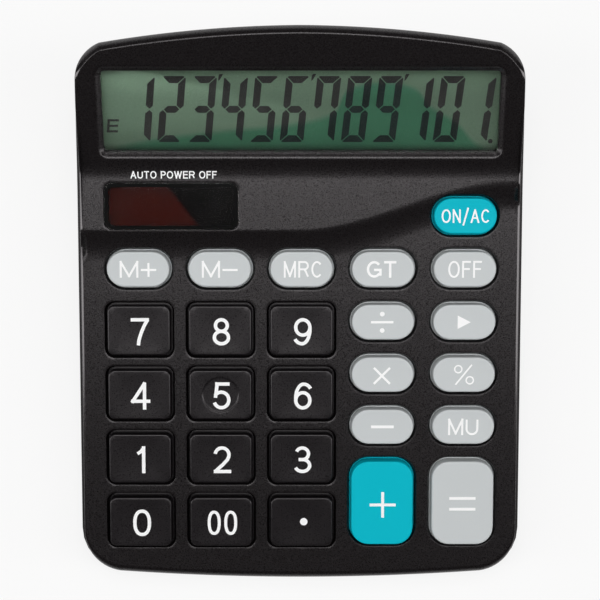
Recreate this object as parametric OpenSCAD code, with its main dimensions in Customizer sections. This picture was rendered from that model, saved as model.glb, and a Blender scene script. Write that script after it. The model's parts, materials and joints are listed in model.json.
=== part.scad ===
// Twelve-digit desk calculator, fed by a solar window and a spare round cell.
// Origin: middle of the outline, at the level that the feet stand on.
// +X points right, +Y to the display's end and +Z up. All sizes are in millimetres.

/* [Case] */
// Width over the lower shell's rim
case_w = 120.4; // [112:0.2:130]
// Length from the front edge to the rear edge
case_l = 147; // [138:0.5:156]
// Height of the rear edge above the desk
case_h = 39.6; // [38:0.2:42.4]
// Height of the key face at the front edge
front_h = 12; // [11.8:0.1:13]
// Slope of the key face
face_tilt = 6; // [5.5:0.25:6.5]
// Slope of the display hood
hood_tilt = 22; // [21:0.5:23]
// Wall thickness of both shells
shell_t = 1.8; // [1.6:0.1:2]
// Lean of the upper shell's side walls
side_lean = 8; // [4:0.5:9]
// Depth of the parting line below the key face
parting_drop = 6.5; // [6:0.1:7]
// Width of the lower rim that shows outside the upper shell
rim_ledge = 1.2; // [0.6:0.1:1.4]
// How far the rear edge bows out
rear_bow = 5.3; // [4.5:0.1:5.5]
// How far the front edge bows out
front_bow = 2.6; // [1:0.1:3.5]
// Corner radius of the outline at the rear
rear_corner_r = 10; // [8:0.5:10]
// Corner radius of the outline at the front
front_corner_r = 12; // [10:0.5:13]
// Radius of the rear top edge
rear_edge_r = 1.8; // [1.5:0.1:3]
// Rise of the swept panel behind the keys
plateau_rise = 1.5; // [0.5:0.1:2]
// Depth of the upper shell's locating lip
lip_h = 1.5; // [0.8:0.1:1.8]
// Thickness of the locating lip
lip_t = 1; // [0.6:0.1:1]

/* [Keys] */
// Margin between the case's sides and the key columns
side_margin = 5.95; // [5.9:0.05:6.5]
// Margin between the front edge and the first row of keys
front_margin = 8.325; // [8:0.025:9]
// Margin between the last row of keys and the hood
rear_margin = 2.65; // [2.6:0.05:3.5]
// Sideways place of the middle key column
keypad_x = 0.4; // [-0.4:0.1:0.4]
// Gap between neighbouring keys in a row
column_gap = 4.9; // [4:0.1:6]
// Gap between neighbouring rows of number keys
number_gap = 3.85; // [3.4:0.05:5]
// Gap between neighbouring rows of function keys
oval_gap = 4.55; // [4:0.05:5]
// Gap before and behind the tall keys, both together
tall_gap = 4.6; // [4.2:0.1:6]
// Extra gap between the number rows and the memory row
memory_gap = 0.65; // [0:0.05:1.5]
// Length of a tall key
tall_l = 23; // [20:0.1:25]
// Corner radius of a number key
number_r = 1.8; // [1:0.1:3]
// Corner radius of a tall key
tall_r = 4.8; // [3:0.1:6]
// Height of a key above the face
key_rise = 2; // [1.6:0.1:2.5]
// Travel of a key
key_travel = 1.5; // [1.4:0.1:1.7]
// Gap between a key and its hole
key_gap = 0.4; // [0.3:0.05:0.45]
// Wall thickness of a key cap
key_wall = 1.2; // [0.9:0.1:1.5]
// Reach of a key's flange past the hole
flange_reach = 0.6; // [0.4:0.1:0.7]
// Thickness of the flange
flange_t = 0.8; // [0.6:0.1:1]
// Radius of a key's stem
stem_r = 2; // [1.5:0.1:2.4]
// Length of the stem below the flange
stem_l = 1; // [0.9:0.1:1.2]

/* [Rubber sheet] */
// Thickness of the rubber sheet
sheet_t = 0.8; // [0.6:0.1:1]
// Radius of a dome at its foot
dome_foot_r = 4.2; // [3.8:0.1:4.4]
// Radius of a dome at its top
dome_top_r = 2.6; // [2.4:0.1:3]
// Thickness of a dome's roof
dome_roof_t = 0.8; // [0.6:0.1:0.9]
// Radius of a contact pill
pill_r = 1.6; // [1.2:0.1:2]
// Thickness of a contact pill
pill_t = 0.5; // [0.3:0.1:0.6]

/* [Circuit board] */
// Thickness of the board
board_t = 1.2; // [1:0.1:1.4]
// Margin between the board and the case's sides
board_margin = 3.4; // [3.3:0.05:3.6]
// Place of the board's front edge up the face
board_front = 9; // [8.8:0.1:9.4]
// Distance between the board's rear edge and the hood
board_rear_gap = 3.3; // [2.9:0.1:3.8]
// Radius of the resin cap over the chip
chip_r = 6; // [4:0.5:8]
// Height of the resin cap
chip_h = 1.4; // [1:0.1:1.6]
// Radius of the capacitor
capacitor_r = 2.5; // [2:0.1:3]
// Length of the capacitor
capacitor_l = 7; // [5:0.5:8]

/* [Display] */
// Margin between the display opening and the case's sides
display_side = 7.45; // [7.4:0.05:8.5]
// Place of the opening up the hood
display_start = 5.7; // [5.5:0.1:6.2]
// Margin between the opening and the rounded rear edge
display_rear = 8.65; // [7.5:0.05:9]
// Depth of the lens below the hood
display_depth = 3; // [2.6:0.1:3.1]
// Thickness of the lens
lens_t = 1.2; // [1:0.1:1.3]
// Reach of the lens past the opening
lens_reach = 1.1; // [0.9:0.05:1.1]
// Thickness of each glass of the liquid crystal cell
glass_t = 0.55; // [0.4:0.05:0.6]
// Thickness of the polarising films
film_t = 0.2; // [0.15:0.05:0.25]
// Width of the contact ledge on the rear glass
glass_ledge = 2; // [1.6:0.1:2.2]
// Floor thickness of the display frame
frame_floor = 0.8; // [0.6:0.1:0.8]
// Width of the ribbon between glass and board
ribbon_w = 42; // [30:1:46]
// Thickness of the ribbon
ribbon_t = 0.2; // [0.15:0.05:0.3]

/* [Solar window] */
// Width of the solar window
solar_w = 35.8; // [34:0.1:36]
// Length of the solar window
solar_l = 12.6; // [12:0.1:12.6]
// Corner radius of the solar window
solar_r = 2.4; // [1.5:0.1:3]
// Distance from the case's side to the middle of the solar window
solar_side = 26.1; // [25.5:0.1:27]
// Distance from the middle of the solar window to the hood
solar_rear = 7.2; // [7:0.05:7.4]
// Thickness of the clear window
window_t = 1.5; // [1.2:0.1:1.6]
// How far the window lies below the panel
window_sink = 0.3; // [0.2:0.05:0.4]
// Width of the ledge that the window rests on
window_ledge = 1.1; // [0.8:0.1:1.4]
// Reach of the solar cell past the window's opening
cell_reach = 0.5; // [0.3:0.1:0.7]
// Thickness of the solar cell
cell_t = 1.1; // [0.9:0.1:1.3]

/* [Battery] */
// Diameter of the round cell
battery_d = 14.2; // [13.8:0.1:14.4]
// Length of the round cell with its nub
battery_l = 50.5; // [49.5:0.1:50.7]
// Distance from the middle of the battery bay to the rear edge
battery_rear = 15.5; // [15.1:0.1:15.6]
// Length of the battery bay along the cell
bay_l = 58; // [57.6:0.1:59]
// Wall thickness of the bay
bay_t = 1.5; // [1.2:0.1:1.6]
// Radius of the spring's wire
spring_wire_r = 0.35; // [0.3:0.05:0.4]
// Turns of the spring
spring_turns = 3.5; // [2:0.5:4]
// Thickness of the contact plates
contact_t = 0.4; // [0.3:0.05:0.5]
// Thickness of the battery door
door_t = 1.5; // [1.3:0.1:1.6]
// How far the door's tongues reach over the floor
tongue_reach = 1.2; // [0.8:0.1:1.2]
// Thickness of the tongues
tongue_t = 1; // [0.8:0.1:1]
// Radius of the lead wires
wire_r = 0.5; // [0.4:0.05:0.6]

/* [Screws and feet] */
// Radius of a case screw's thread
case_screw_r = 1.25; // [1:0.05:1.4]
// Radius of a case screw's head
case_head_r = 2.25; // [2:0.05:2.4]
// Height of a case screw's head
case_head_h = 1.6; // [1.4:0.1:1.6]
// Length of a case screw below its head
case_screw_l = 6; // [5:0.5:6]
// Radius of a case boss
case_boss_r = 2.5; // [2.2:0.1:2.6]
// Radius of a small screw's thread
small_screw_r = 0.8; // [0.6:0.05:0.9]
// Radius of a small screw's head
small_head_r = 1.5; // [1.3:0.05:1.6]
// Height of a small screw's head
small_head_h = 1; // [0.8:0.1:1]
// Radius of the small bosses
small_boss_r = 1.7; // [1.4:0.05:1.7]
// Radius of a foot
foot_r = 5; // [4:0.5:6]
// Height of the feet below the case
foot_h = 1.5; // [1.4:0.1:2]
// Depth of the feet's seats
foot_sink = 0.6; // [0.4:0.1:1]
// Distance from a foot's middle to the case's side
foot_side = 13.2; // [12:0.1:16]
// Distance from a foot's middle to the front or rear edge
foot_end = 13.5; // [12.5:0.1:18]
// Distance from the front screws to the case's side
front_screw_side = 20.2; // [16:0.1:26]
// Distance from the front screws to the front edge
front_screw_end = 5; // [4.8:0.1:5.2]
// Distance from the rear screws to the case's side
rear_screw_side = 5.9; // [5.8:0.1:6.2]
// Height of the rear screws' seats above the lower shell's floor
rear_screw_lift = 7.2; // [6:0.1:7.6]

/* [Clearances] */
// Gap beside pieces that lie loosely in a pocket
pocket_gap = 0.2; // [0.1:0.05:0.25]
// Gap between pieces that move past each other
slide_gap = 0.3; // [0.2:0.05:0.3]
// Gap between a screw's thread and its hole
thread_gap = 0.02; // [0.02:0.01:0.05]
// Gap between pieces that rest on each other
rest_gap = 0.1; // [0.05:0.05:0.15]

/* [Hidden] */
$fn = 48;
far = 200;
cut = 0.5;                                   // how far a cut runs past a face
wire_sides = 8;
function neat(length) = round(length * 100) / 100;   // to a hundredth of a millimetre
half_w = case_w / 2;
half_l = case_l / 2;
floor_top = foot_h + shell_t;

// The outline: two shallow bows that the corner arcs join to straight sides.
corner_steps = 6;
bow_steps = 12;
function bow_r(bow) = (half_w * half_w + bow * bow) / (2 * bow);
function corner_y(bow, r) = half_l - bow_r(bow)
    + sqrt(pow(bow_r(bow) - r, 2) - pow(half_w - r, 2));
function turn(bow, r) = atan2(corner_y(bow, r) - half_l + bow_r(bow), half_w - r);
function arc(c, r, from, to, steps, skip = 0) = [
    for (i = [skip : steps - skip])
        let (a = from + (to - from) * i / steps) [c.x + r * cos(a), c.y + r * sin(a)]
];
function end_outline(bow, r, inset) = concat(
    arc([half_w - r, corner_y(bow, r)], r - inset, 0, turn(bow, r), corner_steps),
    arc([0, half_l - bow_r(bow)], bow_r(bow) - inset, turn(bow, r), 180 - turn(bow, r),
        bow_steps, 1),
    arc([r - half_w, corner_y(bow, r)], r - inset, 180 - turn(bow, r), 180, corner_steps)
);
function outline(inset) = concat(
    end_outline(rear_bow, rear_corner_r, inset),
    [for (p = end_outline(front_bow, front_corner_r, inset)) -p]
);

// The two sloping planes of the top, and the arc of the rear edge, in Y and Z.
edge_c = [half_l - rear_edge_r, case_h - rear_edge_r];
edge_steps = 8;
inner_edge_r = 0.2;                          // least radius of the arc inside the wall
function face_z(y, drop = 0) = front_h + (y + half_l) * tan(face_tilt) - drop / cos(face_tilt);
function hood_z(y, drop = 0) = edge_c.y + (rear_edge_r - drop) / cos(hood_tilt)
    + (y - edge_c.x) * tan(hood_tilt);
function meet_y(face_drop, hood_drop) =
    (face_z(0, face_drop) - hood_z(0, hood_drop)) / (tan(hood_tilt) - tan(face_tilt));
function edge_r(drop) = max(rear_edge_r - drop, inner_edge_r);
function edge_centre(drop) = let (y = half_l - drop - edge_r(drop))
    [y, hood_z(y, drop) - edge_r(drop) / cos(hood_tilt)];
function top_profile(drop) = concat(
    [[-far, -far], [-far, face_z(-far, drop)],
     [meet_y(drop, drop), face_z(meet_y(drop, drop), drop)]],
    arc(edge_centre(drop), edge_r(drop), 90 + hood_tilt, 0, edge_steps),
    [[half_l - drop, -far]]
);
hood_y = meet_y(-plateau_rise, 0);
function on_face_yz(v, w) = [
    -half_l + v * cos(face_tilt) - w * sin(face_tilt),
    front_h + v * sin(face_tilt) + w * cos(face_tilt)
];
// Places up the face and up the hood where the two meet, and where the rear edge's arc starts.
hood_v = (hood_y + half_l + plateau_rise * sin(face_tilt)) / cos(face_tilt);
hood_l = (edge_c.x - rear_edge_r * sin(hood_tilt) - hood_y) / cos(hood_tilt);
function on_hood_yz(p, q) = [
    hood_y + p * cos(hood_tilt) - q * sin(hood_tilt),
    hood_z(hood_y) + p * sin(hood_tilt) + q * cos(hood_tilt)
];

// The swept line between the key face and the raised panel.
sweep_left = hood_v - 13.6;
sweep_right = hood_v - 1;
sweep_end = half_w - 4.2;
sweep_steps = 14;
function ease(t) = t * t * (3 - 2 * t);
function sweep_v(u) = sweep_left
    + (sweep_right - sweep_left) * ease(min(1, max(0, u / sweep_end)));
sweep_points = [for (i = [0 : sweep_steps]) let (u = sweep_end * i / sweep_steps) [u, sweep_v(u)]];

// Key columns and rows. Function rows stand behind the tall keys, and the memory row is the
// fourth of them, behind the number rows.
columns = 5;
number_rows = 4;
function_rows = 5;
column_pitch = (case_w - 2 * side_margin) / columns;
tall_cell = tall_l + tall_gap;
keys_l = hood_v - front_margin - rear_margin;
oval_pitch = (keys_l - tall_cell) / function_rows;
number_pitch = (keys_l - 2 * oval_pitch - memory_gap) / number_rows;
key_w = neat(column_pitch - column_gap);
number_l = neat(number_pitch - number_gap);
oval_l = neat(oval_pitch - oval_gap);
tall_v = front_margin + tall_cell / 2;
function column_x(column) = keypad_x + (column - (columns - 1) / 2) * column_pitch;
function number_v(row) = front_margin + (row + 0.5) * number_pitch;
function oval_v(row) = front_margin + tall_cell + (row + 0.5) * oval_pitch;

// Depths below the key face of what lies under a key.
flange_top = shell_t + slide_gap;
flange_bottom = flange_top + flange_t;
stem_end = flange_bottom + stem_l;
dome_top = stem_end + pocket_gap;
dome_h = key_travel + slide_gap;             // a dome is a little higher than the key's travel
sheet_top = dome_top + dome_h;
board_top = sheet_top + sheet_t;
board_bottom = board_top + board_t;

// The display opening, and depths below the hood of what lies under the lens.
display_w = case_w - 2 * display_side;
display_l = neat(hood_l - display_start - display_rear);
lens_bottom = display_depth + lens_t;
front_film_top = lens_bottom + rest_gap;
front_glass_top = front_film_top + film_t;
rear_glass_top = front_glass_top + glass_t;
reflector_top = rear_glass_top + glass_t;
frame_pocket = reflector_top + film_t;
frame_bottom = frame_pocket + frame_floor;
glass_over = 0.6;                            // reach of the front glass past the opening
frame_wall = 0.7;
glass_w = display_w - 2 * pocket_gap;
glass_top_end = display_start + display_l + glass_over;
glass_start = display_start - glass_over;
rear_glass_start = glass_start - glass_ledge;
frame_corner = 2.5;
well_t = 1.1;
lens_corner_r = 2.5;
frame_tab_t = 1.2;
frame_screw_l = 3.2;
frame_rear_screw = [glass_w / 4, glass_top_end + frame_wall + small_boss_r - 0.15];
frame_front_screw = [ribbon_w / 2 + 9, rear_glass_start - frame_wall - small_boss_r - slide_gap];
frame_screws = [
    for (s = [frame_rear_screw, frame_front_screw], side = [-1, 1]) [side * s.x, s.y]
];

// Each key: name, column from the left, place up the face, kind, colour.
black = "#232224";
grey = "#c3c8c9";
teal = "#00bcd0";
KEYS = [
    ["key_0", 0, number_v(0), "number", black],
    ["key_00", 1, number_v(0), "number", black],
    ["key_point", 2, number_v(0), "number", black],
    ["key_1", 0, number_v(1), "number", black],
    ["key_2", 1, number_v(1), "number", black],
    ["key_3", 2, number_v(1), "number", black],
    ["key_4", 0, number_v(2), "number", black],
    ["key_5", 1, number_v(2), "number", black],
    ["key_6", 2, number_v(2), "number", black],
    ["key_7", 0, number_v(3), "number", black],
    ["key_8", 1, number_v(3), "number", black],
    ["key_9", 2, number_v(3), "number", black],
    ["key_plus", 3, tall_v, "tall", teal],
    ["key_equals", 4, tall_v, "tall", grey],
    ["key_minus", 3, oval_v(0), "oval", grey],
    ["key_mark_up", 4, oval_v(0), "oval", grey],
    ["key_multiply", 3, oval_v(1), "oval", grey],
    ["key_percent", 4, oval_v(1), "oval", grey],
    ["key_divide", 3, oval_v(2), "oval", grey],
    ["key_arrow", 4, oval_v(2), "oval", grey],
    ["key_memory_plus", 0, oval_v(3), "oval", grey],
    ["key_memory_minus", 1, oval_v(3), "oval", grey],
    ["key_memory_recall", 2, oval_v(3), "oval", grey],
    ["key_grand_total", 3, oval_v(3), "oval", grey],
    ["key_off", 4, oval_v(3), "oval", grey],
    ["key_on_clear", 4, oval_v(4), "oval", teal]
];
function key_x(key) = column_x(key[1]);
function key_v(key) = key[2];
function key_l(key) = key[3] == "number" ? number_l : key[3] == "tall" ? tall_l : oval_l;
function key_r(key) = key[3] == "number" ? number_r : key[3] == "tall" ? tall_r : oval_l / 2;

// The board is hung under bosses on the upper shell, three on each side between the rows, and
// two behind the rubber sheet.
board_w = case_w - 2 * board_margin;
board_rear = hood_v - board_rear_gap;
board_corner = 3;
sheet_margin = 0.3;
side_screw_x = board_w / 2 - small_boss_r + 0.2;
sheet_half_w = side_screw_x - small_boss_r - sheet_margin;
sheet_rear = oval_v(3) + oval_l / 2 + 3;
sheet_tab_x = column_x(4) - column_pitch / 2;
rear_boss_v = sheet_rear + small_boss_r + 2.5 * slide_gap;
board_screws = concat(
    [for (v = [number_v(0.5), number_v(2.5), oval_v(3.5)], side = [-1, 1]) [side * side_screw_x, v]],
    [for (column = [1.8, 3.1]) [column_x(column), rear_boss_v]]
);
board_screw_l = 4;
chip_at = [column_x(2.2), oval_v(2.3)];
capacitor_at = [column_x(3.7), oval_v(3.8)];
resistors_at = [column_x(0.6), oval_v(3.5)];
resistor_count = 4;
resistor_pitch = 5;

// Case screws: place, and the height that their heads bear on.
web_t = 1.3;
counterbore_gap = 0.35;
column_r = case_head_r + counterbore_gap + 1.1;
front_screw_x = half_w - front_screw_side;
front_screw_y = front_screw_end - half_l;
rear_screw_x = half_w - rear_screw_side;
rear_screw_y = on_face_yz(board_rear, -board_top).x + case_boss_r + slide_gap;   // just behind the board
rear_screw_z = floor_top + rear_screw_lift;
case_screws = [
    [-front_screw_x, front_screw_y, floor_top], [front_screw_x, front_screw_y, floor_top],
    [-rear_screw_x, rear_screw_y, rear_screw_z], [rear_screw_x, rear_screw_y, rear_screw_z]
];
foot_x = half_w - foot_side;
foot_y = half_l - foot_end;

// Battery bay and door.
battery_r = battery_d / 2;
battery_y = half_l - battery_rear;
battery_z = foot_h + door_t + slide_gap + battery_r;
bay_half_l = bay_l / 2;
bay_side_gap = 0.7;
bay_head_gap = 0.5;
door_lead = 2.2;                             // reach of the door past the bay's front wall
bay_half_w = battery_r + bay_side_gap;
bay_top = battery_z + battery_r + bay_head_gap;
bay_front = battery_y - bay_half_w;
bay_rear = battery_y + bay_half_w;
door_half_w = bay_half_l - pocket_gap;
door_front = bay_front - door_lead;
tongue_z = floor_top + slide_gap;
channel_half_w = door_half_w + tongue_reach + slide_gap;
channel_top = tongue_z + tongue_t + slide_gap + pocket_gap;
channel_wall = 1.2;
nub_r = 2.65;
nub_l = 1.3;
battery_right = bay_half_l - contact_t - 3 * rest_gap;
battery_left = battery_right - battery_l;
contact_z = channel_top + slide_gap;
contact_h = bay_top - contact_z - slide_gap;
tab_z = battery_z + 3.5;
tab_h = 2;
spring_from = -bay_half_l + rest_gap + contact_t + spring_wire_r / 2;   // rolled onto the plate
spring_to = battery_left - rest_gap - spring_wire_r;
spring_r = [5, 2.8];
spring_rings = 16;                           // rings of the mesh in each turn

solar_x = solar_side - half_w;
solar_v = hood_v - solar_rear;

// ---- Placing ----

// A place on the key face: u to the right, v up the slope, w out of it.
module on_face(u = 0, v = 0, w = 0) {
    translate([0, -half_l, front_h]) rotate([face_tilt, 0, 0]) translate([u, v, w]) children();
}

// A place on the hood: u to the right, p up its slope, q out of it.
module on_hood(u = 0, p = 0, q = 0) {
    translate([0, hood_y, hood_z(hood_y)]) rotate([hood_tilt, 0, 0]) translate([u, p, q]) children();
}

// A side profile drawn in Y and Z, drawn out across the case.
module across(width) {
    rotate([90, 0, 90]) linear_extrude(width, center = true) children();
}

// A box from its lowest to its highest corner.
module box(low, high) {
    translate(low) cube(high - low);
}

// ---- Shared shapes ----

module rounded(w, l, r) {
    square([w - 2 * r, l], center = true);
    if (l > 2 * r) square([w, l - 2 * r], center = true);
    for (x = [-1, 1], y = l > 2 * r ? [-1, 1] : [0])
        translate([x * (w / 2 - r), y * (l / 2 - r)]) circle(r);
}

module slab(w, l, r, bottom, top) {
    translate([0, 0, bottom]) linear_extrude(top - bottom) rounded(w, l, r);
}

module side_planes(inset) {
    low = -parting_drop - 20;
    high = 40;
    function x_at(w) = half_w - inset - (w + parting_drop) * tan(side_lean);
    on_face(0, half_l) rotate([90, 0, 0]) linear_extrude(2 * far, center = true)
        polygon([[-x_at(low), low], [x_at(low), low], [x_at(high), high], [-x_at(high), high]]);
}

module above_parting(shift = 0) {
    on_face() box([-far, -far, -parting_drop + shift], [far, far, far]);
}

module cover_block(inset, drop) {
    intersection() {
        linear_extrude(case_h) polygon(outline(inset));
        across(2 * far) polygon(top_profile(drop));
        side_planes(inset);
    }
}

// The upper shell's bulk is narrower along the keys, so that the lower rim shows there.
module cover_bulk(inset, drop) {
    intersection() {
        cover_block(inset + rim_ledge, drop);
        box([-far, -far, 0], [far, hood_y, far]);
    }
    intersection() {
        cover_block(inset, drop);
        box([-far, hood_y, 0], [far, far, far]);
    }
}

module raised_panel() {
    intersection() {
        on_face(0, 0, -shell_t / 2) linear_extrude(shell_t / 2 + plateau_rise)
            polygon(concat([[-far, sweep_left]], sweep_points,
                [[far, sweep_right], [far, sweep_right + far], [-far, sweep_left + far]]));
        linear_extrude(case_h) polygon(outline(rim_ledge));
        side_planes(rim_ledge);
        box([-far, -far, 0], [far, hood_y, far]);
    }
}

module screw(thread_r, length, head_r, head_h) {
    difference() {
        union() {
            cylinder(r = thread_r, h = length);
            translate([0, 0, -head_h]) cylinder(r = head_r, h = head_h);
        }
        for (a = [0, 90]) rotate([0, 0, a])
            translate([-head_r * 0.6, -head_r * 0.1, -head_h - cut])
                cube([head_r * 1.2, head_r * 0.2, cut + head_h / 2]);
    }
}

// A round wire along points. The flat of each ring is set out from a fixed direction that the
// wire never runs along.
function unit(v) = v / norm(v);
function along(points, i) = unit(points[min(i + 1, len(points) - 1)] - points[max(i - 1, 0)]);
module wire(points, r, fixed) {
    n = wire_sides;
    last = len(points) - 1;
    corners = [
        for (i = [0 : last])
            let (t = along(points, i), side = unit(cross(t, fixed)), up = cross(side, t))
                for (j = [0 : n - 1]) points[i] + r * (cos(360 * j / n) * side + sin(360 * j / n) * up)
    ];
    walls = [for (i = [0 : last - 1], j = [0 : n - 1])
        [i * n + j, i * n + (j + 1) % n, (i + 1) * n + (j + 1) % n, (i + 1) * n + j]];
    ends = [[for (j = [n - 1 : -1 : 0]) j], [for (j = [0 : n - 1]) last * n + j]];
    polyhedron(corners, concat(walls, ends));
}

// ---- Upper shell ----

module lip() {
    outer = shell_t + pocket_gap;
    inner = outer + lip_t;
    intersection() {
        linear_extrude(case_h) difference() {
            polygon(outline(outer));
            polygon(outline(inner));
        }
        above_parting(-lip_h);
        across(2 * far) polygon([
            [-far, -far], [far, -far],
            [far, face_z(far, parting_drop - lip_h)], [-far, face_z(-far, parting_drop - lip_h)]
        ]);
    }
    // The step that carries the lip where the wall is flush with the lower shell.
    intersection() {
        linear_extrude(case_h) difference() {
            polygon(outline(shell_t / 2));
            polygon(outline(inner));
        }
        above_parting();
        side_planes(shell_t / 2);
        across(2 * far) polygon([
            [hood_y, -far], [far, -far],
            [far, face_z(far, parting_drop - lip_h)], [hood_y, face_z(hood_y, parting_drop - lip_h)]
        ]);
    }
}

module case_boss(s) {
    intersection() {
        translate([s.x, s.y, s[2] + web_t + rest_gap]) cylinder(r = case_boss_r, h = case_h);
        across(2 * far) polygon(top_profile(shell_t / 2));
    }
}

module top_cover() {
    color(black) difference() {
        union() {
            difference() {
                intersection() {
                    union() {
                        cover_bulk(0, 0);
                        raised_panel();
                    }
                    above_parting();
                }
                cover_bulk(shell_t, shell_t);
            }
            difference() {
                lip();
                for (s = case_screws)
                    translate([s.x, s.y, 0]) cylinder(r = column_r + slide_gap, h = s[2] + web_t + rest_gap);
            }
            on_hood(0, display_start + display_l / 2)
                slab(display_w + 2 * well_t, display_l + 2 * well_t, lens_corner_r,
                    -display_depth, -shell_t / 2);
            for (s = case_screws) case_boss(s);
            for (s = board_screws)
                on_face(s.x, s.y, -board_top) cylinder(r = small_boss_r, h = board_top - shell_t / 2);
            for (s = frame_screws)
                on_hood(s.x, s.y, -lens_bottom) cylinder(r = small_boss_r, h = lens_bottom - shell_t / 2);
        }
        for (key = KEYS) on_face(key_x(key), key_v(key))
            slab(key_w + 2 * key_gap, key_l(key) + 2 * key_gap, key_r(key) + key_gap,
                -shell_t - cut, plateau_rise + cut);
        on_hood(0, display_start + display_l / 2)
            slab(display_w, display_l, lens_corner_r - well_t, -display_depth - cut, cut);
        on_face(solar_x, solar_v)
            slab(solar_w, solar_l, solar_r, plateau_rise - window_sink - window_t, plateau_rise + cut);
        on_face(solar_x, solar_v)
            slab(solar_w - 2 * window_ledge, solar_l - 2 * window_ledge, solar_r - window_ledge,
                -shell_t - cut, plateau_rise);
        for (s = case_screws) translate([s.x, s.y, s[2]])
            cylinder(r = case_screw_r + thread_gap, h = case_screw_l + cut);
        for (s = board_screws) on_face(s.x, s.y, -board_bottom)
            cylinder(r = small_screw_r + thread_gap, h = board_screw_l + cut);
        for (s = frame_screws) on_hood(s.x, s.y, -lens_bottom - frame_tab_t)
            cylinder(r = small_screw_r + thread_gap, h = frame_screw_l + rest_gap);
    }
}

// ---- Lower shell and door ----

module inside_case(inset) {
    linear_extrude(case_h) polygon(outline(inset));
}

module bottom_case() {
    color(black) difference() {
        union() {
            difference() {
                translate([0, 0, foot_h]) inside_case(0);
                translate([0, 0, floor_top]) inside_case(shell_t);
            }
            for (s = case_screws) intersection() {
                translate([s.x, s.y, floor_top - shell_t / 2])
                    cylinder(r = column_r, h = s[2] + web_t - floor_top + shell_t / 2);
                inside_case(shell_t / 2);
            }
            box([-bay_half_l - bay_t, bay_front - bay_t, channel_top],
                [bay_half_l + bay_t, bay_rear + bay_t, bay_top + bay_t]);
            intersection() {
                box([-channel_half_w - channel_wall, door_front - bay_t, floor_top - shell_t / 2],
                    [channel_half_w + channel_wall, half_l, channel_top + channel_wall]);
                inside_case(shell_t / 2);
            }
        }
        above_parting();
        for (s = case_screws) translate([s.x, s.y, 0]) {
            cylinder(r = case_head_r + counterbore_gap, h = s[2]);
            cylinder(r = case_screw_r + 2 * rest_gap, h = s[2] + web_t + cut);
        }
        // Bay, the channel that the door's tongues run in, and the door's own opening.
        box([-bay_half_l, bay_front, 0], [bay_half_l, bay_rear, bay_top]);
        box([-channel_half_w, bay_front + pocket_gap, floor_top - shell_t / 2],
            [channel_half_w, far, channel_top]);
        box([-door_half_w - slide_gap, door_front - slide_gap, 0],
            [door_half_w + slide_gap, far, floor_top]);
        // Slots for the solder tabs of the two contacts.
        for (side = [-1, 1])
            translate([side * (bay_half_l - contact_t), bay_front - bay_t / 2, tab_z + tab_h / 2])
                cube([2 * contact_t, bay_t + 2 * cut, tab_h + 2 * slide_gap], center = true);
        for (x = [-foot_x, foot_x], y = [-foot_y, foot_y])
            translate([x, y, 0]) cylinder(r = foot_r + rest_gap, h = foot_h + foot_sink);
    }
}

module battery_door() {
    wall = 1.2;
    dip_r = 0.9;
    dip_l = 14;
    dip_end = 9;
    color(black) intersection() {
        difference() {
            union() {
                box([-door_half_w, door_front, foot_h], [door_half_w, half_l, foot_h + door_t]);
                for (side = [0, 1]) mirror([side, 0, 0]) {
                    box([door_half_w - wall, bay_front + 2 * slide_gap, foot_h],
                        [door_half_w, half_l, tongue_z + tongue_t]);
                    box([door_half_w - wall, bay_front + 2 * slide_gap, tongue_z],
                        [door_half_w + tongue_reach, half_l, tongue_z + tongue_t]);
                }
                box([-door_half_w, half_l - rear_bow - wall, foot_h],
                    [door_half_w, half_l, tongue_z + tongue_t]);
            }
            // The rear lip is a thin wall that follows the case's bow.
            intersection() {
                translate([0, 0, foot_h + door_t]) inside_case(shell_t);
                box([-door_half_w + wall, bay_front, 0], [door_half_w - wall, half_l, case_h]);
            }
            // Finger dip near the rear edge.
            translate([0, half_l - dip_end, foot_h]) rotate([0, 90, 0])
                cylinder(r = dip_r, h = dip_l, center = true);
        }
        inside_case(rest_gap);
    }
}

// ---- Display ----

module display_lens() {
    color("#c9d4cf", 0.4) on_hood(0, display_start + display_l / 2)
        slab(display_w + 2 * lens_reach, display_l + 2 * lens_reach, lens_corner_r,
            -lens_bottom, -display_depth);
}

module lcd_sheet(start, top, thickness) {
    on_hood() box([-glass_w / 2, start, -top - thickness], [glass_w / 2, glass_top_end, -top]);
}

module lcd_front_polarizer() {
    color("#6d7a6c") lcd_sheet(glass_start, front_film_top, film_t);
}

module lcd_front_glass() {
    color("#8fa293") lcd_sheet(glass_start, front_glass_top, glass_t);
}

module lcd_rear_glass() {
    color("#8fa293") lcd_sheet(rear_glass_start, rear_glass_top, glass_t);
}

module lcd_reflector() {
    color("#9aa88c") lcd_sheet(glass_start, reflector_top, film_t);
}

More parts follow.
